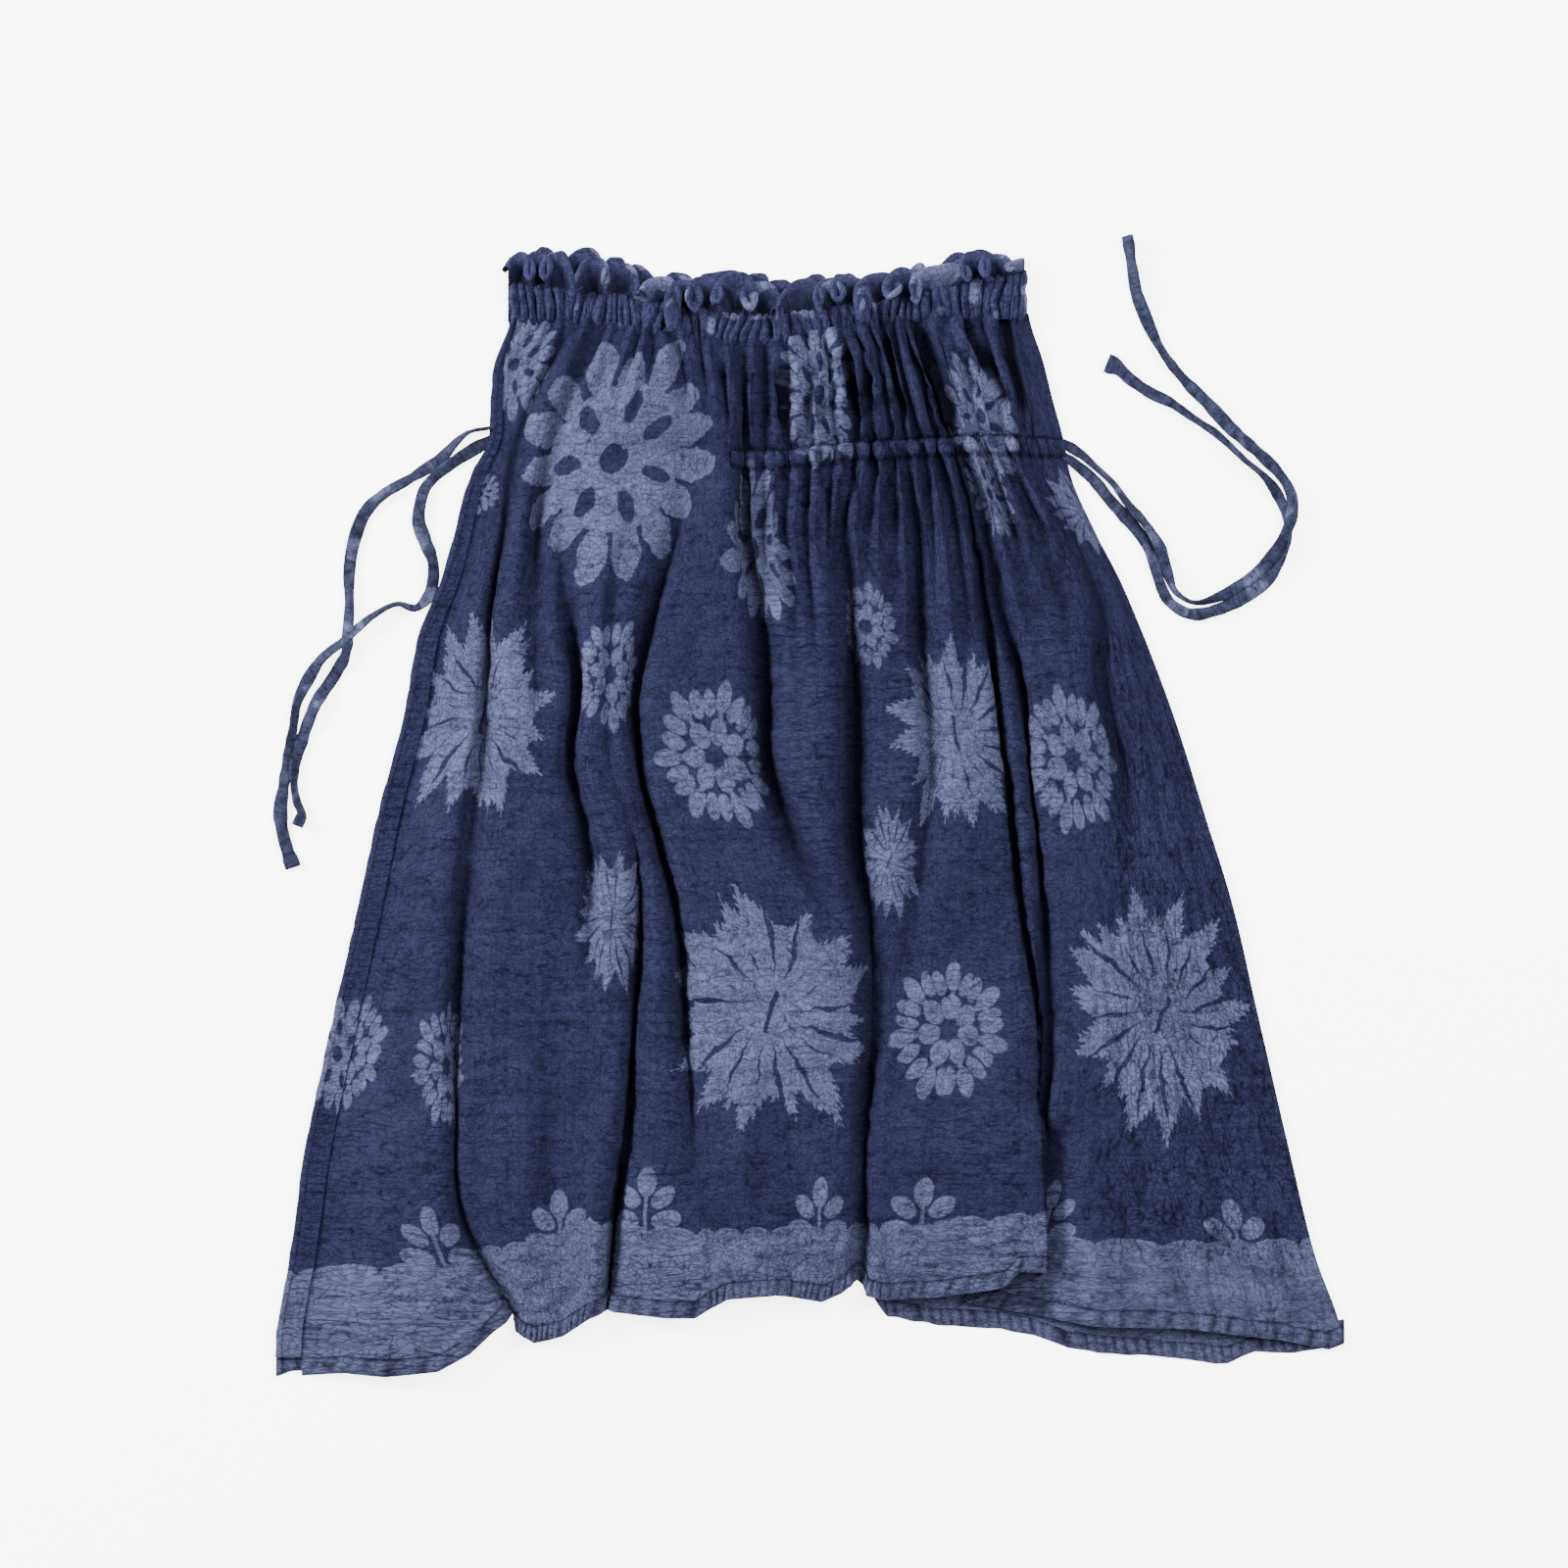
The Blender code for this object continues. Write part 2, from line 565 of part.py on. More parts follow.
def main():
    for old in list(bpy.data.objects):
        bpy.data.objects.remove(old)
    indigo = (0.035, 0.042, 0.115)
    front_panel(cloth_material("front crepe", indigo))
    back_panel(cloth_material("back crepe", indigo))
    front_casing(cloth_material("front casing crepe", (0.038, 0.045, 0.12)))
    back_casing(cloth_material("back casing crepe", (0.03, 0.036, 0.1)))
    hip_channel(cloth_material("channel crepe", (0.037, 0.044, 0.118)))
    front_hem(cloth_material("front hem crepe", (0.085, 0.1, 0.19)))
    back_hem(cloth_material("back hem crepe", (0.075, 0.09, 0.17)))
    ruffle("front_ruffle", FRONT_CURLS, 6, 5, (8.2, 12.5, 4.4, 6.0), 0.95,
           cloth_material("front ruffle crepe", (0.04, 0.047, 0.125)))
    ruffle("back_ruffle", BACK_CURLS, 5, 4, (2.6, 2.9, 1.3, 0.0), 1.0,
           cloth_material("back ruffle crepe", (0.025, 0.03, 0.085)), back_casing_columns()[::-1])
    tie_colour = (0.045, 0.055, 0.13)
    tie("tie_left_outer", TIE_LEFT_OUTER, cloth_material("left outer tie", tie_colour))
    tie("tie_left_inner", TIE_LEFT_INNER, cloth_material("left inner tie", tie_colour))
    tie("tie_right_upper", TIE_RIGHT_UPPER, cloth_material("right upper tie", tie_colour))
    tie("tie_right_lower", TIE_RIGHT_LOWER, cloth_material("right lower tie", tie_colour))


main()
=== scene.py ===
"""The midi skirt as it looks: crinkled indigo cotton with pale leaf and flower prints, laid flat."""

import math

import bpy
import numpy as np
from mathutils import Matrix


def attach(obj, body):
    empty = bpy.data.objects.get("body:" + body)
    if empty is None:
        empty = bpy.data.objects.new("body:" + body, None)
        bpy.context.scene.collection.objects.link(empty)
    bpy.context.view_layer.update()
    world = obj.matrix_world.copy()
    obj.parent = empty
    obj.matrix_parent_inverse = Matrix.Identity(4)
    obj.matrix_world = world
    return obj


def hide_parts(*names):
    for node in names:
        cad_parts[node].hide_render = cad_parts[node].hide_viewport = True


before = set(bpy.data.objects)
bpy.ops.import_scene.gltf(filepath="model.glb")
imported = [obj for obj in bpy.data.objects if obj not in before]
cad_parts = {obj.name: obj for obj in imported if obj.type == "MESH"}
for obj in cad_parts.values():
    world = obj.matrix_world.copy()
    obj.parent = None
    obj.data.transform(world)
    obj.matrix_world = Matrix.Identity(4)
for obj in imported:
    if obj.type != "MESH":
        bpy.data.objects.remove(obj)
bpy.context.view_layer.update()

# Main sizes, mm, as in the CAD model
WAIST_Y = 368.0
WALL = 1.5
SEAM_GAP = 0.3
INNER_FLOOR = WALL + 0.4
HEM_WIDTH = 12.0
HEM_THICKNESS = 1.9
ROLL_HEIGHT = 4.6
CASING_LEFT = -209.0
CASING_RIGHT = 149.0
CASING_THICKNESS = 5.5
PANEL_TOP = 27.0
PANEL_END = 715.0
TO_METRES = 0.001

# How much higher the folds of the dressed cloth are than in the CAD model
FOLD_RISE = 1.35
# How far the ridges lean over their valleys, mm, and the share of their height that rounds off there
LEAN = 2.6
ROUNDING = 0.30
# Radius of the ruffle's rolled rim, and how far the ties go into the side seam, mm
RIM = 2.0
TIE_TUCK = 8.0
# Height that no part of the ruffle passes, mm
RUFFLE_TOP = 27.5

# Colours of the cloth, and how much painted shade its crinkles put on them: darker colour in their creases
BASE = (0.0146, 0.0155, 0.0410)
PALE = (0.062, 0.067, 0.128)
WAIST_BASE = (0.021, 0.022, 0.055)
TIE_BASE = (0.027, 0.030, 0.061)
SHEEN = (0.6, 0.65, 0.9, 1.0)
CRINKLE_SHADE_SLOPE = 1.7
CRINKLE_SHADE_DROP = 0.22
# Width of the soft edge of a print, mm
PRINT_EDGE = 0.9

# The photograph's view: height, middle and width of the picture, m
CAMERA_HEIGHT = 3.4
VIEW_MIDDLE = (-0.0177, 0.0211)
VIEW_WIDTH = 1.088
SENSOR = 36.0
FLOOR_HALF = 15
FLOOR_GLOW = 4.5
WORLD_LIGHT = 0.82
# Name, place and size of each light, m, and its power, W
LIGHTS = (
    ("key", (-2.8, 1.1, 1.5), 1.2, 390.0),
    ("fill", (1.6, 1.0, 2.4), 2.2, 195.0),
)

# Columns and rows of the meshes; the gathered half of the front has more by this weight
FRONT_COLUMNS = 344
GATHER_WEIGHT = 1.8
FRONT_ROWS = 276
HEM_COLUMNS = 1150
CHANNEL_COLUMNS = 420
MASTER_COLUMNS = 400
PRINT_ROWS = 260
BACK_COLUMNS = 200
BACK_ROWS = 190
ROLL_STEPS = 8
FLAP_STEPS = 10
BACK_HEM_COLUMNS = 760
CASING_COLUMNS = 620
CASING_ROWS = 26
BACK_CASING_COLUMNS = 260
BACK_CASING_ROWS = 10
RUFFLE_ROWS = 17
LOOP_COLUMNS = 36
RIM_ROWS = 11
TIE_ROWS = 150
TIE_COLUMNS = 16
# More rows than this give normals of their own; narrow bands take them from even rows
NARROW_BAND = 40
# The front's columns are spaced at this drop
SPACING_DROP = 400.0
# Distance along the cloth is taken at this drop of the front and this row of the back
MASTER_DROP = 430.0
BACK_MASTER_ROW = 100
# The mesh layers hold millimetres divided by this
LAYER_UNIT = 100.0
# Coordinate of a face without a print, and how far from its centre a print reaches, in half widths
NO_PRINT = 9.0
PRINT_REACH = 1.12

# Outline of the laid skirt: drop, left edge, right edge, width of the back that rolls over on the left
SIDES = (
    (-12, -211, 149, 4),
    (27, -208, 153, 5),
    (54, -218, 162, 6),
    (78, -221, 168, 8),
    (112, -224, 177, 9),
    (129, -233, 180, 10),
    (172, -246, 198, 12),
    (207, -256, 216, 13),
    (235, -268, 228, 14),
    (298, -281, 252, 15),
    (371, -300, 275, 16),
    (422, -311, 291, 17),
    (507, -330, 311, 18),
    (602, -350, 333, 18),
    (672, -360, 350, 18),
    (733, -370, 370, 18),
    (760, -370, 371, 18),
)

# Waist: x, top of casing, bottom of casing, top of ruffle (drops)
WAIST = (
    (-209, -1, 27, -19),
    (-168, 5, 26, -23),
    (-126, 10, 32, -12),
    (-86, 17, 39, -3),
    (-52, 20, 42, -7),
    (-24, 21, 42, 0),
    (10, 17, 35, -4),
    (47, 12, 28, -7),
    (87, 5, 24, -12),
    (128, -6, 22, -22),
    (149, -9, 24, -18),
)

# Fold lines of the front, left to right; "lip" and "foot" are the two sides of the overlapping fold
FOLD_NAMES = ("v1", "v2", "v2b", "v3b", "v3", "v4", "v5", "v6", "lip", "foot", "v9")
# Where each fold line runs: drop, then x of each fold
FOLD_X = (
    (31, -165, -146, -126, -109, -92, -47, 24, 50, 71, 78, 137),
    (75, -189, -167, -143, -116, -86, -47, 29, 61, 86, 92, 146),
    (119, -205, -181, -160, -126, -86, -47, 31, 67, 99, 107, 152),
    (170, -212, -189, -171, -126, -92, -47, 23, 73, 112, 121, 176),
    (224, -220, -190, -169, -137, -109, -37, 27, 75, 120, 131, 199),
    (279, -224, -190, -162, -140, -121, -31, 29, 79, 128, 147, 203),
    (333, -228, -190, -166, -137, -118, -29, 29, 84, 135, 152, 214),
    (388, -235, -189, -155, -121, -105, -10, 31, 78, 141, 159, 220),
    (442, -241, -189, -152, -116, -92, 15, 41, 73, 147, 162, 224),
    (510, -245, -191, -152, -121, -87, 20, 43, 65, 156, 165, 231),
    (578, -245, -191, -155, -126, -82, 16, 39, 61, 152, 160, 237),
    (646, -241, -188, -156, -135, -78, 13, 37, 57, 124, 132, 248),
    (714, -205, -181, -160, -141, -72, 8, 34, 54, 92, 102, 261),
)
# How deep each fold line is, as a share of the ridge height
FOLD_DEPTH = (
    (31, .3, .2, .1, .1, .2, .3, .4, .5, .6, .6, .4),
    (75, .7, .4, 0, 0, .1, .5, .6, .6, .8, .8, .6),
    (119, .9, .7, 0, 0, .2, .4, .4, .4, .5, .5, .4),
    (170, 1, .7, .1, 0, .4, .6, .7, .7, .7, .7, .5),
    (224, 1, .5, .4, .1, .7, .8, .9, .8, .9, .9, .5),
    (279, .8, .3, .8, .1, .9, 1, 1, .7, 1, 1, .7),
    (333, .5, .1, .8, .1, 1, 1, 1, .5, 1, 1, .6),
    (388, .4, 0, .7, .3, 1, .6, 1, .4, 1, 1, .3),
    (442, .7, 0, .4, .8, .9, .2, .9, .3, 1, 1, .1),
    (510, .8, 0, .1, .9, .8, 0, .8, .1, .9, .9, 0),
    (578, .8, 0, 0, .9, .3, 0, .7, 0, .9, .9, 0),
    (646, .8, 0, 0, .9, 0, 0, .7, 0, 1, 1, 0),
    (714, .7, 0, 0, .8, 0, 0, .8, 0, 1, 1, 0),
)
# Half width of each fold's groove at three drops
FOLD_WIDTH = (
    (31, 5, 6, 5, 5, 5, 5, 5, 5, 4, 4, 5),
    (333, 7, 10, 7, 5, 8, 10, 13, 10, 5, 6, 8),
    (646, 6, 6, 5, 6, 5, 8, 5, 6, 3, 5, 8),
)
# Ridges between the fold lines: gathers at the waist, height of the ridge
RIDGES = (
    (3, 11),
    (1, 14),
    (1, 11),
    (2, 15),
    (1, 15),
    (3, 17),
    (5, 17),
    (3, 15),
    (3, 15),
    (1, 12),
    (3, 13),
    (2, 9),
)
FIRST_HIP_RIDGE = 6
# Most of the ridge height that a small gather takes away
GATHER_DEPTH = 0.8
LIP = FOLD_NAMES.index("lip") + 1
FOOT = FOLD_NAMES.index("foot") + 1
# Overlapping fold near the hem: drop, how far the lip lies over to the right
LIP_OVER = ((442, 0), (562, 0), (612, 20), (655, 44), (714, 71), (760, 71))
# Slope of the tucked layer where the lap begins
FOLD_TILT = 14.0
# The layer under the lip stays down until this far past it
LIP_CLEAR = 34.0
# How the height and the gathers change down the skirt: drop, ridge share, left gathers, hip gathers
RELIEF = (
    (27, .3, .8, .7),
    (50, .65, .6, .9),
    (75, .8, .2, 1),
    (100, .75, 0, 1),
    (119, .55, 0, .75),
    (140, .75, 0, 1),
    (170, .95, 0, .8),
    (210, 1, 0, .45),
    (250, 1, 0, .15),
    (300, 1, 0, 0),
    (500, .95, 0, 0),
    (650, .8, 0, 0),
    (715, .65, 0, 0),
)
# Front hem: place across the fold lines (0 left seam, 1 first fold, ...), drop
FRONT_HEM = (
    (0, 757), (.2, 755), (.4, 757), (.65, 753), (.8, 741), (1, 713),
    (1.12, 727), (1.6, 734), (2, 732), (2.5, 729), (3, 722), (4, 708),
    (4.12, 712), (4.6, 716), (4.9, 716), (5.2, 703), (5.6, 700), (6, 705),
    (6.5, 699), (7, 689), (7.3, 701), (8, 704), (8.4, 702), (8.78, 695),
    (8.86, 684), (9, 685), (9.34, 685), (9.66, 706), (10, 706), (10.4, 717), (10.6, 722),
    (11, 724), (11.6, 732), (11.9, 739), (12, 735),
)
# Back hem: x, drop
BACK_HEM = (
    (-371, 756.9), (-256, 740), (-205, 707), (-141, 698), (-56, 690), (28, 686),
    (40, 698), (54, 716), (86, 722), (133, 725), (156, 730), (180, 739),
    (234, 744), (290, 749), (309, 741), (337, 742), (371, 735),
)
# Drop of the middle of the hip channel
CHANNEL_DROP = 122.0
# Rise of the hip channel towards the right side
CHANNEL_RISE = ((-60, 0), (-20, 0), (25, 6), (125, 11), (182, 8))

# Free ends of the drawstring: x, drop, height above the surface
TIE_LEFT_OUTER = (
    (-224.8, 100.6, 0), (-233, 102, 0), (-258, 123, 0), (-280, 137, 0), (-294, 145, 0),
    (-307, 157, 0), (-315, 176, 0), (-319, 197, 0), (-319, 225, 1), (-320, 243, 4.2),
    (-321, 256, 3.4), (-329, 271, 0), (-341, 289, 0), (-348, 305, 0), (-353, 320, 0),
    (-357, 336, 0), (-357, 350, 0), (-355, 360, 0), (-352, 368, 0), (-355, 376, 0),
)
TIE_LEFT_INNER = (
    (-225.9, 110.6, 0), (-247, 124, 0), (-259, 133, 0), (-266, 141, 0), (-270, 153, 0),
    (-271, 165, 0), (-266, 180, 0), (-261, 193, 0), (-261, 206, 0), (-265, 218, 0),
    (-273, 225, 0), (-285, 222, 0), (-299, 228, 0), (-311, 237, 0), (-322, 247, 0),
    (-338, 260, 0), (-348, 275, 0), (-355, 290, 0), (-358, 309, 0), (-361, 324, 0),
    (-363, 338, 0), (-365, 351, 0), (-367, 365, 0), (-365, 382, 0), (-361, 396, 0),
    (-358, 405, 0),
)
TIE_RIGHT_UPPER = (
    (178.9, 112.2, 0), (189, 119, 0), (200, 129, 0), (209, 137, 0), (220, 152, 0),
    (233, 167, 0), (243, 183, 0), (248, 200, 0), (254, 214, 0), (265, 221, 0),
    (284, 217, 0), (299, 209, 0), (312, 199, 0), (321, 188, 3.2), (329, 175, 4.2),
    (334, 161, 4.2), (334, 147, 2), (326, 132, 0), (312, 118, 0), (294, 102, 0),
    (275, 82, 0), (262, 69, 0), (250, 55, 0), (241, 41, 0), (233, 23, 0),
    (227, 8, 0), (224, -8, 0), (222, -21, 0), (220, -33, 0),
)
TIE_RIGHT_LOWER = (
    (180.6, 122.2, 0), (195, 134, 0), (209, 151, 0), (222, 165, 0), (232, 178, 0),
    (238, 190, 0), (242, 205, 0), (249, 220, 0), (264, 229, 0), (283, 226, 0),
    (300, 218, 0), (317, 206, 0), (327, 191, 0), (332, 175, 0), (331, 162, 0),
    (326, 149, 0), (318, 137, 0), (300, 121, 0), (283, 105, 0), (264, 92, 0),
    (251, 83, 0), (237, 76, 0), (222, 66, 0), (213, 58, 0), (206, 55, 0),
)

# Prints on the front: kind, x, drop, half width, half height, turn in degrees
PRINTS = (
    ("rosette", -135, 122, 74, 84, 8),
    ("thistle", -226, 300, 66, 74, 20),
    ("thistle", -28, 503, 84, 92, 5),
    ("thistle", 244, 507, 72, 90, -8),
    ("thistle", 101, 312, 58, 74, 30),
    ("posy", -65, 328, 43, 52, 0),
    ("posy", 97, 516, 44, 50, 12),
    ("posy", 182, 330, 34, 52, 20),
    ("posy", -137, 271, 28, 38, 40),
    ("thistle", -137, 440, 32, 54, 15),
    ("posy", 40, 238, 26, 32, 5),
    ("thistle", 54, 400, 24, 44, -12),
    ("posy", -329, 534, 26, 42, 0),
    ("posy", -252, 541, 29, 46, 10),
    ("rosette", 8, 78, 46, 52, 10),
    ("rosette", -38, 184, 42, 58, 35),
    ("rosette", 118, 92, 36, 44, 0),
    ("rosette", 124, 146, 24, 32, 15),
    ("rosette", -205, 56, 30, 38, 0),
    ("rosette", -228, 146, 14, 14, 0),
    ("thistle", 196, 160, 26, 32, 0),
    ("sprig", -258, 664, 29, 27, 0),
    ("sprig", -173, 653, 25, 27, 0),
    ("sprig", -113, 637, 26, 27, 0),
    ("sprig", 7, 644, 22, 27, 0),
    ("sprig", 78, 644, 29, 27, 0),
    ("sprig", 166, 647, 24, 27, 0),
    ("sprig", 296, 660, 28, 27, 0),
)
KINDS = ("none", "rosette", "thistle", "sprig", "posy")
# Top of the pale border: place across the fold lines, drop
BORDER = (
    (0, 681), (.5, 679), (.9, 676), (1, 668), (1.6, 664), (2, 662), (3, 646), (4, 650), (5, 654),
    (6, 653), (7, 651), (7.5, 651), (8, 655), (8.5, 646), (8.95, 643), (9.3, 640), (10, 654),
    (10.4, 660), (11, 663), (12, 662),
)
# Deep gaps between the gathers above the hip channel, darkened with painted shade: x and drop at both ends,
# half width, depth
GAPS = (
    (74, 29, 99, 108, 4.2, 9),
    (107, 26, 125, 66, 3.2, 9),
    (135, 22, 149, 99, 3.2, 9),
    (-18, 42, -18, 98, 2.8, 7),
    (24, 42, 34, 98, 3.0, 8),
    (38, 56, 46, 98, 2, 5),
    (52, 37, 66, 98, 2, 6),
    (-62, 44, -56, 100, 2, 5),
    (-40, 44, -38, 104, 1.8, 4),
    (3, 44, 10, 102, 1.8, 4),
    (88, 40, 108, 96, 1.6, 4),
    (118, 30, 136, 92, 1.8, 4),
)
# Right end and width of the back's hem, mm
BACK_HEM_RIGHT = 371
BACK_HEM_WIDTH = 741
# The print on the back's left edge: x, drop, half width, half height
BACK_PRINT = (-327, 534, 26, 44)
# Top of the pale border on the back: x, drop
BACK_BORDER = ((-371, 684), (-300, 682), (371, 664))
# Sections of the bands: place across the band, height above the cloth
HEM_SECTION = (
    (-2.5, -0.3), (-0.4, 0.1), (0.3, 0.6), (1.0, 1.5), (3, 2.0), (6, 2.1),
    (9, 2.1), (11, 1.9), (11.7, 1.3), (12, 0.5), (12.01, -0.4),
)
CHANNEL_SECTION = (
    (-8, -0.6), (-7, -1.4), (-6, 0.0), (-4.5, 1.3), (-2.5, 2.0), (0, 2.2),
    (2.5, 2.0), (4.5, 1.3), (6, 0.2), (7, -0.8), (8, -0.6),
)
BACK_HEM_SECTION = (
    (-5, 0.1), (-0.5, 0.3), (0.0, 1.0), (1, 1.9), (4, 2.3), (8, 2.3),
    (11, 2.1), (11.8, 1.5), (12, 0.9), (11.7, 0.3), (10, 0.2),
)
# Where the front's ruffle falls forward over the casing: x, half width, share
DROOPS = (
    (-92, 9, 1.0), (-24, 9, 1.0), (37, 8, 0.8), (68, 8, 0.8),
    (-160, 9, 0.4), (118, 8, 0.3), (-50, 8, 0.4), (8, 7, 0.4),
)


def column(table, index):
    """One column of a table, as an array."""
    return np.array([row[index] for row in table], dtype=float)


def smooth_curve(at, stations, values):
    """Smooth curve through (stations, values), held level past both ends."""
    stations = np.asarray(stations, dtype=float)
    values = np.asarray(values, dtype=float)
    at = np.clip(at, stations[0], stations[-1])
    slopes = np.gradient(values, stations)
    i = np.clip(np.searchsorted(stations, at, side="right") - 1, 0, len(stations) - 2)
    span = stations[i + 1] - stations[i]
    t = (at - stations[i]) / span
    first = (1 + 2 * t) * (1 - t) ** 2 * values[i] + t * (1 - t) ** 2 * span * slopes[i]
    second = t * t * (3 - 2 * t) * values[i + 1] - t * t * (1 - t) * span * slopes[i + 1]
    return first + second


def smooth_step(at, start, end):
    """0 before start, 1 after end."""
    t = np.clip((np.asarray(at, dtype=float) - start) / (end - start), 0, 1)
    return t * t * (3 - 2 * t)


def curve_at(at, table, index):
    """Smooth curve through one column of a table, over its first column."""
    return smooth_curve(at, column(table, 0), column(table, index))


def line_at(at, table, index):
    """Straight lines through one column of a table, over its first column."""
    return np.interp(at, column(table, 0), column(table, index))


def paired(first, second):
    """Two numbers for each point, as one array."""
    return np.stack([first, second], axis=-1)


def side(drop, index):
    """A column of the outline at these drops."""
    return curve_at(drop, SIDES, index)


def waist_line(x, index):
    """A drop of the waist at these x."""
    return curve_at(x, WAIST, index)


def fold_lines(drop):
    """x of the left seam, every fold line and the right edge at these drops."""
    left = side(drop, 1) + side(drop, 3) + SEAM_GAP
    lines = [curve_at(drop, FOLD_X, k + 1) for k in range(len(FOLD_NAMES))]
    return [left, *lines, side(drop, 2)]


def across(place, drop):
    """x at a place counted across the fold lines, before the overlapping fold is laid over."""
    lines = np.stack(fold_lines(drop))
    k = np.clip(np.floor(place).astype(int), 0, len(lines) - 2)
    part = place - k
    low = np.take_along_axis(lines, k[None], axis=0)[0]
    high = np.take_along_axis(lines, k[None] + 1, axis=0)[0]
    return low + (high - low) * part


def real_drop(place, nominal, x):
    """Drop of a point: rows follow the casing at the top, the hip channel and the hem."""
    top = (waist_line(x, 2) - PANEL_TOP) * (1 - smooth_step(nominal, PANEL_TOP, 105))
    hem = line_at(place, FRONT_HEM, 1) - PANEL_END
    low = hem * smooth_step(nominal, 330, PANEL_END)
    rise = line_at(x, CHANNEL_RISE, 1)
    hip = -rise * bump(nominal, CHANNEL_DROP, 45) * smooth_step(nominal, PANEL_TOP, 90)
    return nominal + top + low + hip


def ridge_share(place, drop, lines):
    """Share of the ridge height that is left at a place: 1 on a ridge, near 0 in a deep groove."""
    x = across(place, drop)
    share = np.ones_like(x)
    for k in range(len(FOLD_NAMES)):
        depth = curve_at(drop, FOLD_DEPTH, k + 1)
        width = curve_at(drop, FOLD_WIDTH, k + 1)
        away = np.abs(x - lines[k + 1]) / width
        share = share * (1 - np.clip(depth, 0, 1) * np.exp(-(away**2.4)))
    return share


def gathers(place, drop):
    """Share of the height that the small gathers take away."""
    k = np.clip(np.floor(place).astype(int), 0, len(RIDGES) - 1)
    count = column(RIDGES, 0)[k]
    left = line_at(drop, RELIEF, 2)
    hip = line_at(drop, RELIEF, 3)
    amount = np.where(k >= FIRST_HIP_RIDGE, hip, left)
    return GATHER_DEPTH * amount * (0.5 + 0.5 * np.cos(2 * math.pi * count * (place - k)))


def front_surface(place, nominal):
    """Inner face of the front panel, in mm, at places across and nominal drops down."""
    place, nominal = np.broadcast_arrays(np.asarray(place, float), np.asarray(nominal, float))
    drop = real_drop(place, nominal, across(place, nominal))
    x = across(place, drop)
    lines = fold_lines(drop)
    middles = np.arange(len(RIDGES)) + 0.5
    crest = np.interp(place, middles, column(RIDGES, 1))
    share = line_at(nominal, RELIEF, 1)
    edge = (1 - bump(x, lines[0], 26)) * (1 - bump(x, lines[-1], 30))
    height = FOLD_RISE * crest * share * edge * ridge_share(place, drop, lines)
    height = height * (1 - gathers(place, drop))
    waist_lift = (CASING_THICKNESS + SEAM_GAP - INNER_FLOOR) * bump(nominal, PANEL_TOP, 22)
    left_lift = 1.2 * bump(x, lines[0], 12)
    z = INNER_FLOOR + waist_lift + left_lift + height
    return lay_over(place, drop, x, z, FOLD_RISE * crest * share, lines)


def lay_over(place, drop, x, z, crest, lines):
    """Lays the overlapping fold to the right: lip over, tucked layer back under it, foot on the back."""
    over = line_at(drop, LIP_OVER, 1)
    lip = lines[LIP] + over
    foot = lines[FOOT]
    lapped = smooth_step(lip - foot, -4, 4)
    part = np.clip(place - (LIP - 1), 0, 1)
    before = (place >= LIP - 1) & (place < LIP)
    top = INNER_FLOOR + crest
    x = np.where(before, x + over * part**1.5, x)
    z = np.where(before, z + lapped * smooth_step(part, 0.4, 0.95) * (top - z), z)
    middle = INNER_FLOOR + 2 * HEM_THICKNESS + 0.7
    between = np.clip(place - LIP, 0, 1)
    inside = (place >= LIP) & (place <= FOOT)
    groove_x = lip + (foot - lip) * between
    tucked_x = lip + (foot - lip) * smooth_step(between, 0.3, 0.7)
    down = smooth_step(between, 0, 0.3)
    level = smooth_step(between, 0.7, 1)
    tucked_z = top + (middle - top) * down + (INNER_FLOOR - middle) * level
    tilt = FOLD_TILT * (1 - smooth_step(lip - foot, 2, 14))
    tilt = tilt * np.cos(math.pi * between) * between * (1 - between)
    tucked_z = tucked_z + tilt
    x = np.where(inside, groove_x + lapped * (tucked_x - groove_x), x)
    z = np.where(inside, z + lapped * (tucked_z - z), z)
    under = lapped * (1 - smooth_step(x, lip, lip + LIP_CLEAR))
    z = np.where(place > FOOT, z + under * (INNER_FLOOR - z), z)
    return np.stack([x, WAIST_Y - drop, z], axis=-1)


def hashed(i, j, seed):
    """A repeatable number from 0 to 1 for each corner of a lattice."""
    scattered = np.sin(i * 127.1 + j * 311.7 + seed * 74.7) * 43758.5453
    return scattered - np.floor(scattered)


def noise(u, v, seed):
    """Smooth noise from 0 to 1."""
    u, v = np.broadcast_arrays(np.asarray(u, float), np.asarray(v, float))
    i, j = np.floor(u), np.floor(v)
    a, b = u - i, v - j
    a, b = a * a * (3 - 2 * a), b * b * (3 - 2 * b)
    low = hashed(i, j, seed) * (1 - a) + hashed(i + 1, j, seed) * a
    high = hashed(i, j + 1, seed) * (1 - a) + hashed(i + 1, j + 1, seed) * a
    return low * (1 - b) + high * b


def sway(u, v, seed):
    """Smooth noise from -0.5 to 0.5."""
    return noise(u, v, seed) - 0.5


def crease(u, v, seed, sharp):
    """Thin lines of value 1 on 0: creases in the cloth."""
    return (1 - np.abs(2 * noise(u, v, seed) - 1)) ** sharp


def valleys(x, spacing, v, seed):
    """Depth of uneven upright pleats: up to 1 in their sharp valleys, 0 on their crests."""
    drift = 1.4 * sway(x / (3.1 * spacing), v, seed) + 0.7 * sway(x / (1.4 * spacing), v * 1.7 + 9, seed + 1)
    phase = x / spacing + drift
    size = 0.45 + 0.55 * hashed(np.floor(phase + 0.5), 0, seed + 2)
    return size * (1 - np.abs(np.sin(math.pi * phase)) ** 0.6)


def bump(at, centre, half):
    """A round bump: 1 at its centre, and about a third at this half width to each side."""
    return np.exp(-(((at - centre) / half) ** 2))


# Meshes


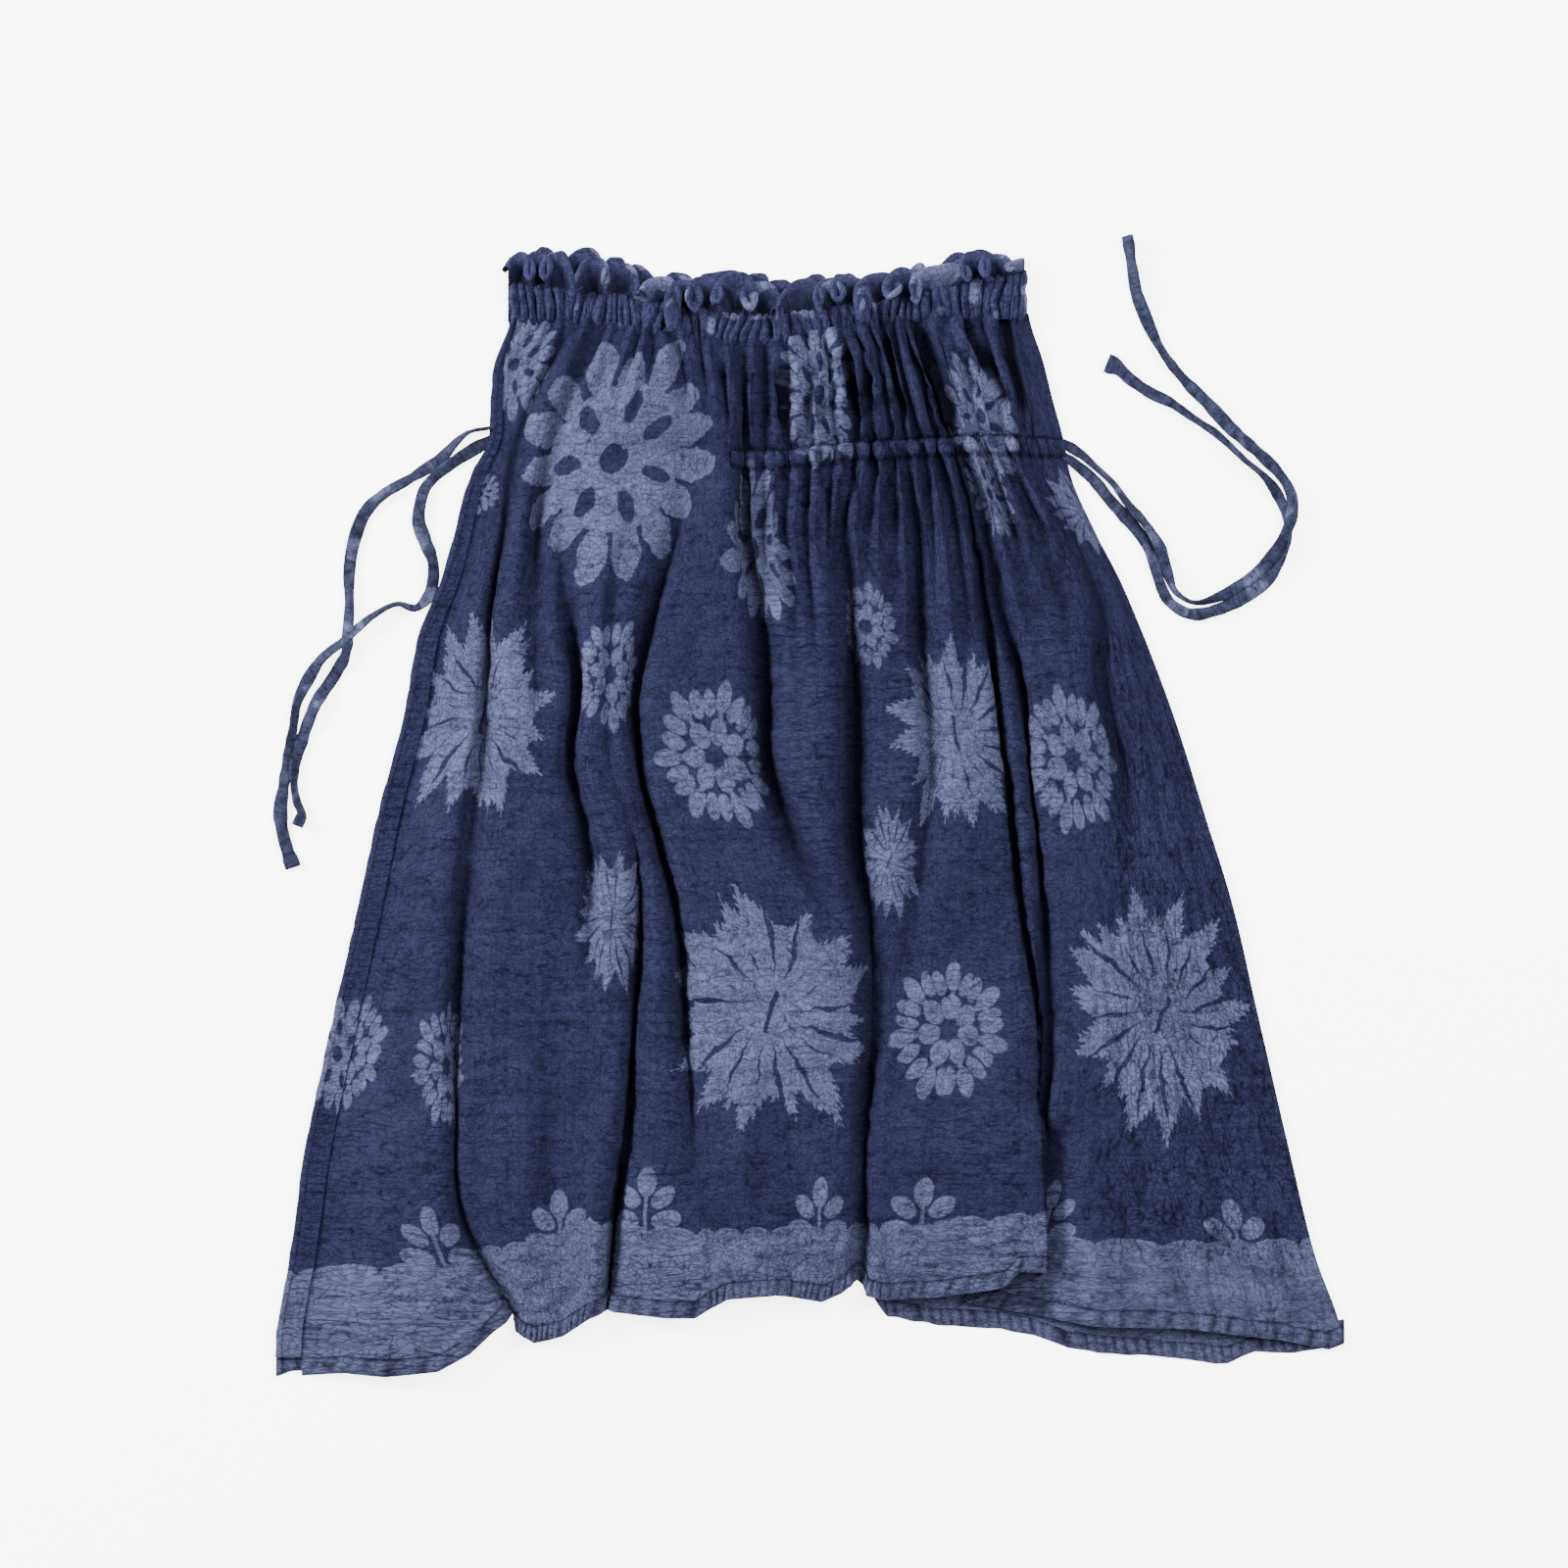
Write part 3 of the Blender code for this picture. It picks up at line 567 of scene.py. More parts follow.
def grid_mesh(name, points, uvs, material, closed=False):
    """Smooth sheet through a grid of points, mm. A layer has a pair per vertex or per corner of a face."""
    rows, columns = points.shape[:2]
    index = np.arange(rows * columns).reshape(rows, columns)
    if closed:
        index = np.concatenate([index, index[:, :1]], axis=1)
    quads = corners(index).reshape(-1, 4)
    mesh = bpy.data.meshes.new(name)
    mesh.from_pydata((points.reshape(-1, 3) * TO_METRES).tolist(), [], quads.tolist())
    for layer, values in uvs.items():
        pairs = values if values.ndim == 4 else values.reshape(-1, 2)[quads]
        mesh.uv_layers.new(name=layer).data.foreach_set("uv", pairs.astype(np.float32).ravel())
    mesh.shade_smooth()
    mesh.materials.append(material)
    piece = bpy.data.objects.new(name, mesh)
    bpy.context.collection.objects.link(piece)
    return piece


def corners(values):
    """Values at the four corners of each face of a grid."""
    return np.stack([values[:-1, :-1], values[1:, :-1], values[1:, 1:], values[:-1, 1:]], axis=-1)


def arc_lengths(points):
    """Distance along each row, from its first point."""
    steps = np.linalg.norm(np.diff(points, axis=1), axis=-1)
    return np.concatenate([np.zeros((len(points), 1)), np.cumsum(steps, axis=1)], axis=1)


def unit(vectors):
    """The vectors with length 1."""
    return vectors / np.maximum(np.linalg.norm(vectors, axis=-1, keepdims=True), 1e-9)


def normals_of(points):
    """Normals towards +Z where rows run down and columns run right."""
    return unit(np.cross(np.gradient(points, axis=0), np.gradient(points, axis=1)))


# Finish of the cloth: u and v are mm across and down it, p and q run from -1 to 1 across a print


class Field:
    """A number worked out in a shader, with ordinary arithmetic."""

    def __init__(self, tree, socket):
        self.tree = tree
        self.socket = socket

    def made(self, operation, *others, clamp=False):
        node = self.tree.nodes.new("ShaderNodeMath")
        node.operation = operation
        node.use_clamp = clamp
        for slot, value in zip(node.inputs, (self, *others)):
            if isinstance(value, Field):
                self.tree.links.new(value.socket, slot)
            else:
                slot.default_value = value
        return Field(self.tree, node.outputs[0])

    def __add__(self, other):
        return self.made("ADD", other)

    def __sub__(self, other):
        return self.made("SUBTRACT", other)

    def __mul__(self, other):
        return self.made("MULTIPLY", other)

    def __truediv__(self, other):
        return self.made("DIVIDE", other)

    def __neg__(self):
        return self.made("MULTIPLY", -1.0)

    def abs(self):
        return self.made("ABSOLUTE")

    def least(self, other):
        return self.made("MINIMUM", other)

    def most(self, other):
        return self.made("MAXIMUM", other)

    def power(self, other):
        return self.made("POWER", other)

    def clamped(self):
        """The number held between 0 and 1."""
        return self.made("ADD", 0.0, clamp=True)

    def equals(self, value):
        """1 where the number is this whole number, else 0."""
        return self.made("COMPARE", value, 0.4)


def link(tree, value, slot):
    if isinstance(value, Field):
        tree.links.new(value.socket, slot)
    elif hasattr(value, "links"):
        tree.links.new(value, slot)
    else:
        slot.default_value = value


def uv_pair(tree, layer):
    source = tree.nodes.new("ShaderNodeUVMap")
    source.uv_map = layer
    parts = tree.nodes.new("ShaderNodeSeparateXYZ")
    tree.links.new(source.outputs[0], parts.inputs[0])
    return Field(tree, parts.outputs[0]), Field(tree, parts.outputs[1])


def vector(tree, x, y, z=0.0):
    node = tree.nodes.new("ShaderNodeCombineXYZ")
    for slot, value in zip(node.inputs, (x, y, z)):
        link(tree, value, slot)
    return node.outputs[0]


def cloud(tree, x, y, z=0.0, detail=2.0, rough=0.5):
    """Noise from 0 to 1, with features about one unit of x and y across."""
    node = tree.nodes.new("ShaderNodeTexNoise")
    node.inputs["Scale"].default_value = 1.0
    node.inputs["Detail"].default_value = detail
    node.inputs["Roughness"].default_value = rough
    tree.links.new(vector(tree, x, y, z), node.inputs["Vector"])
    return Field(tree, node.outputs["Fac"] if "Fac" in node.outputs else node.outputs[0])


def mixed(tree, share, first, second):
    node = tree.nodes.new("ShaderNodeMix")
    node.data_type = "RGBA"
    link(tree, share, node.inputs[0])
    for slot, value in ((node.inputs[6], first), (node.inputs[7], second)):
        link(tree, (*value, 1.0) if isinstance(value, tuple) else value, slot)
    return node.outputs[2]


def scaled_colour(tree, colour, share):
    """Colour times a number."""
    node = tree.nodes.new("ShaderNodeVectorMath")
    node.operation = "SCALE"
    link(tree, colour, node.inputs[0])
    link(tree, share, node.inputs["Scale"])
    return node.outputs[0]


def ellipse(x, y, centre_x, centre_y, half_x, half_y, turn=0.0):
    """How far inside an ellipse a point is, about in the units of x and y."""
    c, s = math.cos(math.radians(turn)), math.sin(math.radians(turn))
    dx, dy = x - centre_x, y - centre_y
    along = (dx * c + dy * s) / half_x
    off = (dy * c - dx * s) / half_y
    return (along * along + off * off).power(0.5) * -min(half_x, half_y) + min(half_x, half_y)


def chance(tree, index, seed):
    """A number from 0 to 1 for each whole index."""
    node = tree.nodes.new("ShaderNodeTexWhiteNoise")
    node.noise_dimensions = "1D"
    link(tree, index * 7.31 + seed, node.inputs["W"])
    return Field(tree, node.outputs["Value"])


def sector(p, q, count):
    """Radius, place across one of several equal sectors (-0.5 to 0.5), and the sector's index."""
    turn = q.made("ARCTAN2", p) * (count / (2 * math.pi)) + 2.0 * count
    radius = (p * p + q * q).power(0.5)
    index = turn.made("FLOOR")
    return radius, turn - index - 0.5, index


def petal_axes(p, q, count, seed, wobble):
    """Radius, place along and across the nearest petal, each turned a little by chance, and its index."""
    radius, place, index = sector(p, q, count)
    angle = (place + (chance(p.tree, index, seed) - 0.5) * wobble) * (2 * math.pi / count)
    return radius, radius * angle.made("COSINE"), radius * angle.made("SINE"), index


def rosette(p, q, seed):
    """Broad rounded petals round a body with drop-shaped holes and a dark centre."""
    radius, x, y, index = petal_axes(p, q, 15, seed, 0.16)
    shift = (chance(p.tree, index, seed * 1.7 + 5.0) - 0.5) * 0.20
    petals = ellipse(x + shift, y, 0.73, 0.0, 0.24, 0.136)
    radius, x, y, index = petal_axes(p, q, 7, seed + 2.0, 0.2)
    hole = ellipse(x, y, 0.43, 0.0, 0.14, 0.07)
    body = (radius * -1.0 + 0.62).least(radius - 0.13)
    return petals.most(body).least(-hole)


def posy(p, q, seed):
    """Seven sprays of round leaves about a dark centre."""
    radius, x, y, index = petal_axes(p, q, 7, seed, 0.14)
    x = x - (chance(p.tree, index, seed * 1.7 + 5.0) - 0.5) * 0.14 * radius
    inner = ellipse(x, y, 0.33, 0.0, 0.18, 0.140)
    tip = ellipse(x, y, 0.78, 0.0, 0.22, 0.120)
    outer = ellipse(x, y.abs(), 0.66, 0.22, 0.19, 0.105, 24)
    stem = (y.abs() * -1.0 + 0.035).least(x - 0.3).least(x * -1.0 + 0.8)
    return inner.most(tip).most(outer).most(stem)


def leaves(p, q, count, seed, root, longest, width):
    """A ring of pointed toothed leaves of uneven length and lean."""
    radius, place, index = sector(p, q, count)
    first, second = chance(p.tree, index, seed), chance(p.tree, index, seed * 1.3 + 9.0)
    span = 2 * math.pi / count
    lean = (first - 0.5) * 1.1
    y = ((place - lean * (radius - 0.5)) * radius * span).abs()
    length = second * -0.32 + longest
    teeth = ((radius - y * 0.9 + first * 0.1) / 0.085).made("FRACT") * 0.04
    taper = (length - radius) * (0.34 + 0.12 * width) + teeth
    return taper.least(radius * (0.5 * span * width) + 0.015).least(radius - root) - y


def thistle(p, q, seed):
    """Two rings of pointed toothed leaves round a centre that is cut by thin curved slits."""
    long_ring = leaves(p, q, 15, seed, 0.12, 1.04, 0.95)
    turned_p, turned_q = p * 0.97 + q * 0.24, q * 0.97 - p * 0.24
    short_ring = leaves(turned_p, turned_q, 12, seed + 3.0, 0.16, 0.92, 0.95)
    bend = (p * p + q * q).power(0.5)
    radius, place, index = sector(p + q * bend * 0.3, q - p * bend * 0.3, 17)
    size = chance(p.tree, index, seed + 6.0)
    body = radius * -1.0 + 0.66
    offset = (place + (size - 0.5) * 0.5 * radius).abs() * radius * (2 * math.pi / 17)
    slit = offset - ((radius - 0.34 - size * 0.25).abs() * -0.08 + 0.004 + size * 0.026)
    core = ((p - q * 0.5).abs() - 0.022).most(bend - 0.16)
    return long_ring.most(short_ring).most(body).least(slit).least(core)


def sprig(p, q):
    """Upright stem with five rounded leaves."""
    x = p.abs()
    stem = (x * -1.0 + 0.05).least(q + 1.0).least(q * -1.0 + 0.3)
    top = ellipse(x, q, 0.0, 0.58, 0.24, 0.38)
    side_leaf = ellipse(x, q, 0.46, 0.20, 0.36, 0.23, 40)
    low_leaf = ellipse(x, q, 0.56, -0.38, 0.40, 0.24, 8)
    return stem.most(top).most(side_leaf).most(low_leaf)


def ridged(tree, u, v, wide, tall, slice_at, thin):
    """Thin valleys of value 0 between plateaus of value 1."""
    return ((cloud(tree, u / wide, v / tall, slice_at, 1.0) - 0.5).abs() * thin).clamped()


def crepe_relief(tree, u, v, upright):
    """Height of the crinkles, 0 to 1, at places in mm. Upright is the share of upright crinkles."""
    bend_u = (cloud(tree, u * 0.14, v * 0.14, 3.0) - 0.5) * 3.0
    bend_v = (cloud(tree, u * 0.14, v * 0.14, 9.0) - 0.5) * 3.0
    a, b = u + bend_u, v + bend_v
    level = ridged(tree, a, b, 8.0, 3.6, 1.0, 17.0).least(ridged(tree, a, b, 4.2, 7.0, 2.0, 20.0))
    tall = ridged(tree, a, b, 3.2, 9.0, 3.0, 15.0).least(ridged(tree, a, b, 6.5, 4.4, 4.0, 20.0))
    net = level + (tall - level) * upright
    long_level = ridged(tree, a, b, 26.0, 8.0, 5.0, 26.0)
    long_tall = ridged(tree, a, b, 7.0, 28.0, 7.0, 24.0)
    lines = long_level + (long_tall - long_level) * upright
    fine = cloud(tree, u, v, 1.0, 3.0, 0.8)
    return net * 0.36 + lines * 0.24 + fine * 0.40


def print_mask(tree, u, v, relief):
    """Share of pale print on the front and back: flowers, and the scalloped border at the hem."""
    p, q = uv_pair(tree, "motif")
    kind, size = uv_pair(tree, "kind")
    p = p + (cloud(tree, u / 12.0, v / 12.0, 2.0) - 0.5) * 0.09
    q = q + (cloud(tree, u / 12.0, v / 12.0, 6.0) - 0.5) * 0.09
    seed = (size * 371.0).made("FLOOR")
    inside = rosette(p, q, seed) * kind.equals(KINDS.index("rosette"))
    inside = inside + posy(p, q, seed) * kind.equals(KINDS.index("posy"))
    inside = inside + thistle(p, q, seed) * kind.equals(KINDS.index("thistle"))
    inside = inside + sprig(p, q) * kind.equals(KINDS.index("sprig"))
    printed = kind.equals(KINDS.index("none")) * -1.0 + 1.0
    mask = (inside * size * LAYER_UNIT / PRINT_EDGE + 0.5).clamped() * printed
    above, _ = uv_pair(tree, "edge")
    lobes = (u * (math.pi / 23.0)).made("SINE").abs().power(0.5) * 5.2 - 4.6
    border = ((above * LAYER_UNIT + lobes + (relief - 0.5) * 1.5) / PRINT_EDGE + 0.5).clamped()
    return mask.most(border * 0.88)


def seam_tone(tree, u, v):
    """Tone of the back's left edge: its stitch line, and the short rungs of its felled seam."""
    _, seam = uv_pair(tree, "edge")
    seam = seam * LAYER_UNIT
    stitch = ((seam - 4.5).abs() * -1.0 + 0.8) * 2.0
    rung = (v / 5.2 + cloud(tree, u / 8.0, v / 8.0, 15.0)).made("FRACT")
    rungs = ((rung - 0.5).abs() * -1.0 + 0.14) * 8.0
    felled = ((seam - 11.0).abs() * -1.0 + 7.0).clamped() * rungs.clamped()
    return stitch.clamped().most(felled) * -0.42 + 1.0


def uneven(tree, u, v, colour, wide, slice_at):
    """A colour that is a little lighter and darker in large soft clouds."""
    share = cloud(tree, u / wide, v / wide, slice_at, 3.0) * 0.5 + 0.75
    return scaled_colour(tree, (*colour,), share)


def crepe(name, base, printed=False, patches=0.0, depth=0.0010):
    """Crinkled cotton, printed or with loose pale patches, whose share patches gives, with painted shade in
    its creases and from its mesh layer of painted shade. Depth is in m.
    """
    material = bpy.data.materials.new(name)
    material.use_nodes = True
    tree = material.node_tree
    shader = tree.nodes["Principled BSDF"]
    u, v = uv_pair(tree, "cloth")
    u, v = u * LAYER_UNIT, v * LAYER_UNIT
    # The second value of this layer is painted shade: darker colour in valleys, pleats, gaps, creases and
    # under laps
    upright, dark = uv_pair(tree, "upright_and_painted_shade")
    relief = crepe_relief(tree, u, v, upright)
    # Painted shade: the colour is darker in the crinkles' creases, and darker again by the layer of painted
    # shade
    tone = (relief * CRINKLE_SHADE_SLOPE - CRINKLE_SHADE_DROP).most(0.16) * (dark * -0.86 + 1.0)
    if printed:
        mask = print_mask(tree, u, v, relief)
        tone = tone * seam_tone(tree, u, v)
    else:
        blobs = cloud(tree, u / 26.0, v / 30.0, 4.0, 1.0)
        mask = ((blobs - (1.0 - patches)) * 40.0).clamped()
    ground = uneven(tree, u, v, base, 60.0, 8.0)
    washed = uneven(tree, u, v, PALE, 70.0, 12.0)
    # The pale print is a little darker in the crinkles' creases: painted shade
    colour = mixed(tree, mask * (relief * 0.2 + 0.82), ground, washed)
    link(tree, scaled_colour(tree, colour, tone), shader.inputs["Base Color"])
    for slot, value in (
        ("Roughness", 0.92), ("Metallic", 0.0), ("Specular IOR Level", 0.02),
        ("Sheen Weight", 0.008), ("Sheen Roughness", 0.6), ("Sheen Tint", SHEEN),
    ):
        shader.inputs[slot].default_value = value
    rise = tree.nodes.new("ShaderNodeBump")
    rise.inputs["Strength"].default_value = 1.0
    rise.inputs["Distance"].default_value = depth
    link(tree, relief, rise.inputs["Height"])
    tree.links.new(rise.outputs[0], shader.inputs["Normal"])
    return material


# Front of the skirt


def front_places(total, hip_weight=1.0):
    """Places of the columns, closer beside the fold lines and, by hip_weight, in the gathered half."""
    lines = np.array([float(np.ravel(x)[0]) for x in fold_lines(np.array([SPACING_DROP]))])
    widths = np.diff(lines)
    widths = np.where(np.arange(len(widths)) >= FIRST_HIP_RIDGE, hip_weight * widths, widths)
    places = []
    for k, width in enumerate(widths):
        count = max(8, round(total * width / widths.sum()))
        t = np.arange(count) / count
        places.extend(k + t - 0.45 * np.sin(2 * math.pi * t) / (2 * math.pi))
    places.append(float(len(widths)))
    return np.array(places)


def hip_share(place):
    """0 on the plain left half of the front, 1 on the half that is gathered at the hip."""
    return smooth_step(place, 5.6, 6.4)


def shaped(place, nominal):
    """The front's folds with round ridges that lean over, and how deep in a valley or under the lapped fold
    each point is, as painted shade.
    """
    surface = front_surface(place, nominal)
    drop = WAIST_Y - surface[..., 1]
    lines = fold_lines(drop)
    plain_x = across(place, drop)
    over = line_at(drop, LIP_OVER, 1)
    lapped = smooth_step(over, 0, 10)
    shift = 0 * drop
    edge_depth = np.ones((len(RIDGES) + 1, *drop.shape))
    for k in range(len(FOLD_NAMES)):
        depth = np.clip(curve_at(drop, FOLD_DEPTH, k + 1), 0, 1)
        width = curve_at(drop, FOLD_WIDTH, k + 1)
        edge_depth[k + 1] = depth
        away = (plain_x - lines[k + 1]) / width
        free = 1 - lapped * (abs(k + 1.5 - LIP) < 2)
        shift = shift - np.sign(away) * depth * free * LEAN * bump(np.abs(away), 1.3, 0.6)
    index = np.clip(np.floor(place).astype(int), 0, len(RIDGES) - 1)
    t = place - index
    near = np.where(t < 0.5, index, index + 1)
    beside = np.take_along_axis(edge_depth, near[None], axis=0)[0]
    height = np.maximum(surface[..., 2] - INNER_FLOOR, 0)
    in_lap = (index == LIP) | (index == LIP - 1) | (index == FOOT)
    round_off = ROUNDING * np.abs(2 * t - 1) ** 3 * beside * (1 - lapped * in_lap)
    surface[..., 2] -= height * round_off * smooth_step(nominal, PANEL_TOP, 70)
    surface[..., 0] += shift * smooth_step(nominal, PANEL_TOP + 5, 70)
    # Painted shade in the valleys, by how much of the ridge height they take away
    dark = np.clip(1 - ridge_share(place, drop, lines), 0, 1)
    covered = (index == FOOT) & (surface[..., 0] < lines[LIP] + over + 8)
    under = lapped * ((index == LIP) | covered)
    # The cloth under the lapped fold gets painted shade too
    return surface, np.maximum(dark * (1 - lapped * (index == LIP - 1) * (t > 0.5)), 0.55 * under)


def wander(u, nominal):
    """Sideways wander of the small gathers down the skirt, mm."""
    return 5.0 * sway(u / 40, nominal / 45, 2)


def channel_pleats(mid_x, nominal):
    """Fine pleats that run through the hip channel and fade out on both sides of it."""
    return valleys(mid_x, 7.2, nominal / 60, 63)


def right_share(x, nominal):
    """Share of the lower right of the front, where the crinkles run upright."""
    return smooth_step(x, 150, 225) * smooth_step(nominal, 150, 260)


def gap_depth(x, nominal):
    """Depth of the gaps between the gathers, mm, which also sets their painted shade."""
    gaps = 0 * x
    for top_x, top, low_x, low, half, depth in GAPS:
        along = np.clip((nominal - top) / (low - top), 0, 1)
        window = smooth_step(nominal, top - 8, top + 12) * (1 - smooth_step(nominal, low - 12, low + 6))
        gaps = gaps + depth * window * bump(x, top_x + (low_x - top_x) * along, half)
    return gaps


def front_detail(place, nominal, x, u):
    """Height of the pleats, gathers and crinkles above the folded surface, mm, and the painted shade in
    their valleys.
    """
    hip = hip_share(place)
    drift = wander(u, nominal)
    top_x = across(place, 0 * place + PANEL_TOP) + 0.4 * drift
    fine = valleys(top_x, 10.5, nominal / 70, 3)
    left_pleats = fine * bump(nominal, PANEL_TOP, 36 + 60 * noise(top_x / 9, 0, 4)) * (1 - hip)
    mid_x = across(place, 0 * place + CHANNEL_DROP) + drift
    tight = valleys(mid_x, 13.0, nominal / 55, 11)
    finer = channel_pleats(mid_x, nominal) * bump(nominal, CHANNEL_DROP, 17)
    reach = 1 - 0.95 * smooth_step(nominal, 146, 190 + 100 * noise(mid_x / 12, 0, 5))
    hip_gathers = tight * hip * reach
    wide = crease(u / 27 + drift / 10, nominal / 150, 17, 1.8)
    low_gathers = np.maximum(0.7 * wide, valleys(mid_x, 21.0, nominal / 120, 19)) * hip
    low_gathers = low_gathers * (1 - smooth_step(nominal, 170, 330)) * smooth_step(nominal, 112, 150)
    gaps = gap_depth(x + drift * 0.5, nominal)
    pull = bump(nominal, 122, 16) * bump(x, -88, 34)
    pulls = -1.8 * crease(u / 60, nominal / 9, 23, 2) * pull
    right = right_share(x, nominal)
    flat = 1 - 0.8 * np.maximum(right, hip * (1 - smooth_step(nominal, 190, 250)))
    level = -1.1 * crease(u / 23, nominal / 8.5, 31, 2.2) * flat
    upright = -1.1 * crease(u / 9, nominal / 38, 37, 2.2) * (0.3 + 1.5 * right)
    soft = 2.6 * sway(u / 27, nominal / 40, 41) + 1.3 * sway(u / 12, nominal / 12, 43)
    broad = 7.0 * sway(u / 24 + nominal / 260, nominal / 120, 49)
    soft = soft + broad * smooth_step(nominal, 40, 160) * flat
    hem_creases = -1.4 * crease(u / 36, nominal / 10, 47, 2) * smooth_step(nominal, 630, 690)
    pinch = hip * bump(nominal, CHANNEL_DROP - 7, 4)
    height = -5.0 * left_pleats - 5.0 * hip_gathers - 3.0 * finer * hip
    height = height - 4.6 * low_gathers - 1.1 * gaps - 2.4 * pinch
    # Painted shade in the valleys of the pleats and gathers, in the gaps and in the creases
    dark = 0.5 * left_pleats**1.4 + 0.62 * hip_gathers**1.3 + 0.8 * finer**1.2 * hip
    dark = dark + 0.5 * low_gathers**1.4 + np.clip(gaps / 8, 0, 0.9)
    dark = dark - 0.16 * (level + upright + pulls + hem_creases)
    return height + pulls + level + upright + soft + hem_creases, np.clip(dark, 0, 1)


def print_centres():
    """Place across the fold lines of each print's centre."""
    places = front_places(MASTER_COLUMNS)
    rows = np.linspace(PANEL_TOP, PANEL_END, PRINT_ROWS)
    surface, _ = shaped(*np.broadcast_arrays(places[None, :], rows[:, None]))
    found = []
    for _, centre_x, centre_drop, *_ in PRINTS:
        away = (surface[..., 0] - centre_x) ** 2 + (WAIST_Y - surface[..., 1] - centre_drop) ** 2
        found.append(places[np.unravel_index(np.argmin(away), away.shape)[1]])
    return found


def blank_print(faces):
    """Local coordinates and kind of a print at the corners of faces that have none."""
    return np.full((*faces, 4, 2), NO_PRINT), np.zeros((*faces, 4, 2))


def print_layers(places, drop, arcs):
    """Local coordinates, kind and size of the print on each face of a piece of the front."""
    faces = (drop.shape[0] - 1, drop.shape[1] - 1)
    motif, kind = blank_print(faces)
    nearest = np.full(faces, PRINT_REACH)
    for (name, _, centre_drop, half_x, half_y, turn), centre in zip(PRINTS, PRINT_PLACES):
        if not places[0] - 0.4 < centre < places[-1] + 0.4:
            continue
        middle = np.array([np.interp(centre, places, row) for row in arcs])[:, None]
        p, q = corners((arcs - middle) / half_x), corners((centre_drop - drop) / half_y)
        c, s = math.cos(math.radians(turn)), math.sin(math.radians(turn))
        p, q = p * c + q * s, q * c - p * s
        reach = np.hypot(p.mean(axis=-1), q.mean(axis=-1))
        here = reach < nearest
        nearest = np.where(here, reach, nearest)
        motif[here] = paired(p, q)[here]
        kind[here] = (KINDS.index(name), min(half_x, half_y) / LAYER_UNIT)
    return motif, kind


def front_piece(name, places, rows, lift, extra=None):
    """A piece of the front's cloth between these places and rows, raised by lift, mm, above its wall."""
    place, nominal = np.broadcast_arrays(places[None, :], rows[:, None])
    surface, valley = shaped(place, nominal)
    if len(rows) > NARROW_BAND:
        normals = normals_of(surface)
    else:
        even_rows = np.linspace(rows[0], rows[-1] + 0.5, len(rows))[:, None]
        normals = normals_of(shaped(place, even_rows + 0 * place)[0])
    arcs = arc_lengths(surface)
    u = np.repeat(np.interp(places, MASTER_PLACES, MASTER_U)[None, :], len(rows), axis=0)
    detail, dark = front_detail(place, nominal, surface[..., 0], u)
    detail = detail * smooth_step(surface[..., 2], INNER_FLOOR - 1, INNER_FLOOR + 7)
    if extra is not None:
        more, more_painted_shade = extra(place, u, nominal)
        detail, dark = detail + more, np.maximum(dark, more_painted_shade)
    points = surface + normals * (WALL + detail + lift)[..., None]
    points[..., 2] = np.maximum(points[..., 2], INNER_FLOOR + 0.4)
    drop = WAIST_Y - surface[..., 1]
    motif, kind = print_layers(places, drop, arcs)
    border = line_at(place, BORDER, 1)
    right = right_share(surface[..., 0], nominal)
    hip = hip_share(place) * (1 - smooth_step(nominal, 180, 260))
    near_hem = smooth_step(nominal, 640, 690)
    upright = np.clip(np.maximum(right, 0.8 * hip), 0.25, 1) * (1 - 0.5 * near_hem)
    # Painted shade from the valleys and from the pleats, gathers, gaps and creases, kept in the layer that
    # darkens the colour
    shade = np.clip(1 - (1 - (0.70 - 0.20 * hip) * valley) * (1 - dark), 0, 1)
    layers = {
        "cloth": paired(u, drop) / LAYER_UNIT,
        "motif": motif,
        "kind": kind,
        "edge": paired((drop - border) / LAYER_UNIT, 0 * drop + 10),
        "upright_and_painted_shade": paired(upright, shade),
    }
    return grid_mesh(name, points, layers, PRINTED)


def front_shell():
    """The front's cloth from under the casing to just inside the hem."""
    rows = np.linspace(PANEL_TOP - 3, PANEL_END - HEM_WIDTH + 5, FRONT_ROWS)
    return front_piece("front_cloth", front_places(FRONT_COLUMNS, GATHER_WEIGHT), rows, 0.0)


def hem_puckers(place, u, nominal):
    """Upright puckers of the turned hem, a little darker over the whole band, with painted shade in the
    puckers and along the step at its stitching; place isn't used here.
    """
    along = nominal - (PANEL_END - HEM_WIDTH)
    lines = valleys(u + along * 0.2, 8.0, 3, 53) * bump(along, 6, 6)
    # The whole band is a little darker; painted shade in the puckers and along the step at the stitching
    dark = 0.16 + 0.9 * lines**0.7 + 0.75 * bump(along, 0.2, 0.9)
    return -1.8 * lines + 0.9 * sway(u / 5, along / 6, 57), np.clip(dark, 0, 1)


def front_hem_band():
    """Turned hem: a step at its stitching, upright puckers, and a round lower edge."""
    rows = PANEL_END - HEM_WIDTH + column(HEM_SECTION, 0)
    lift = column(HEM_SECTION, 1)[:, None]
    return front_piece("front_hem_fold", front_places(HEM_COLUMNS), rows, lift, hem_puckers)


def channel_gathers(place, u, nominal):
    """Fine pleats of the hip channel, with painted shade in them and along the pinched lines of its
    stitching.
    """
    away = nominal - CHANNEL_DROP
    pucker = channel_pleats(across(place, 0 * place + CHANNEL_DROP) + wander(u, nominal), nominal)
    # Painted shade in the pleats and in the pinches at both lines of stitching
    dark = 0.9 * bump(away, -6.6, 1.6) + 0.6 * bump(away, 6.8, 1.4) + 0.85 * pucker
    return -1.2 * pucker + 1.2 * sway(u / 9, away / 9, 65), np.clip(dark, 0, 1)


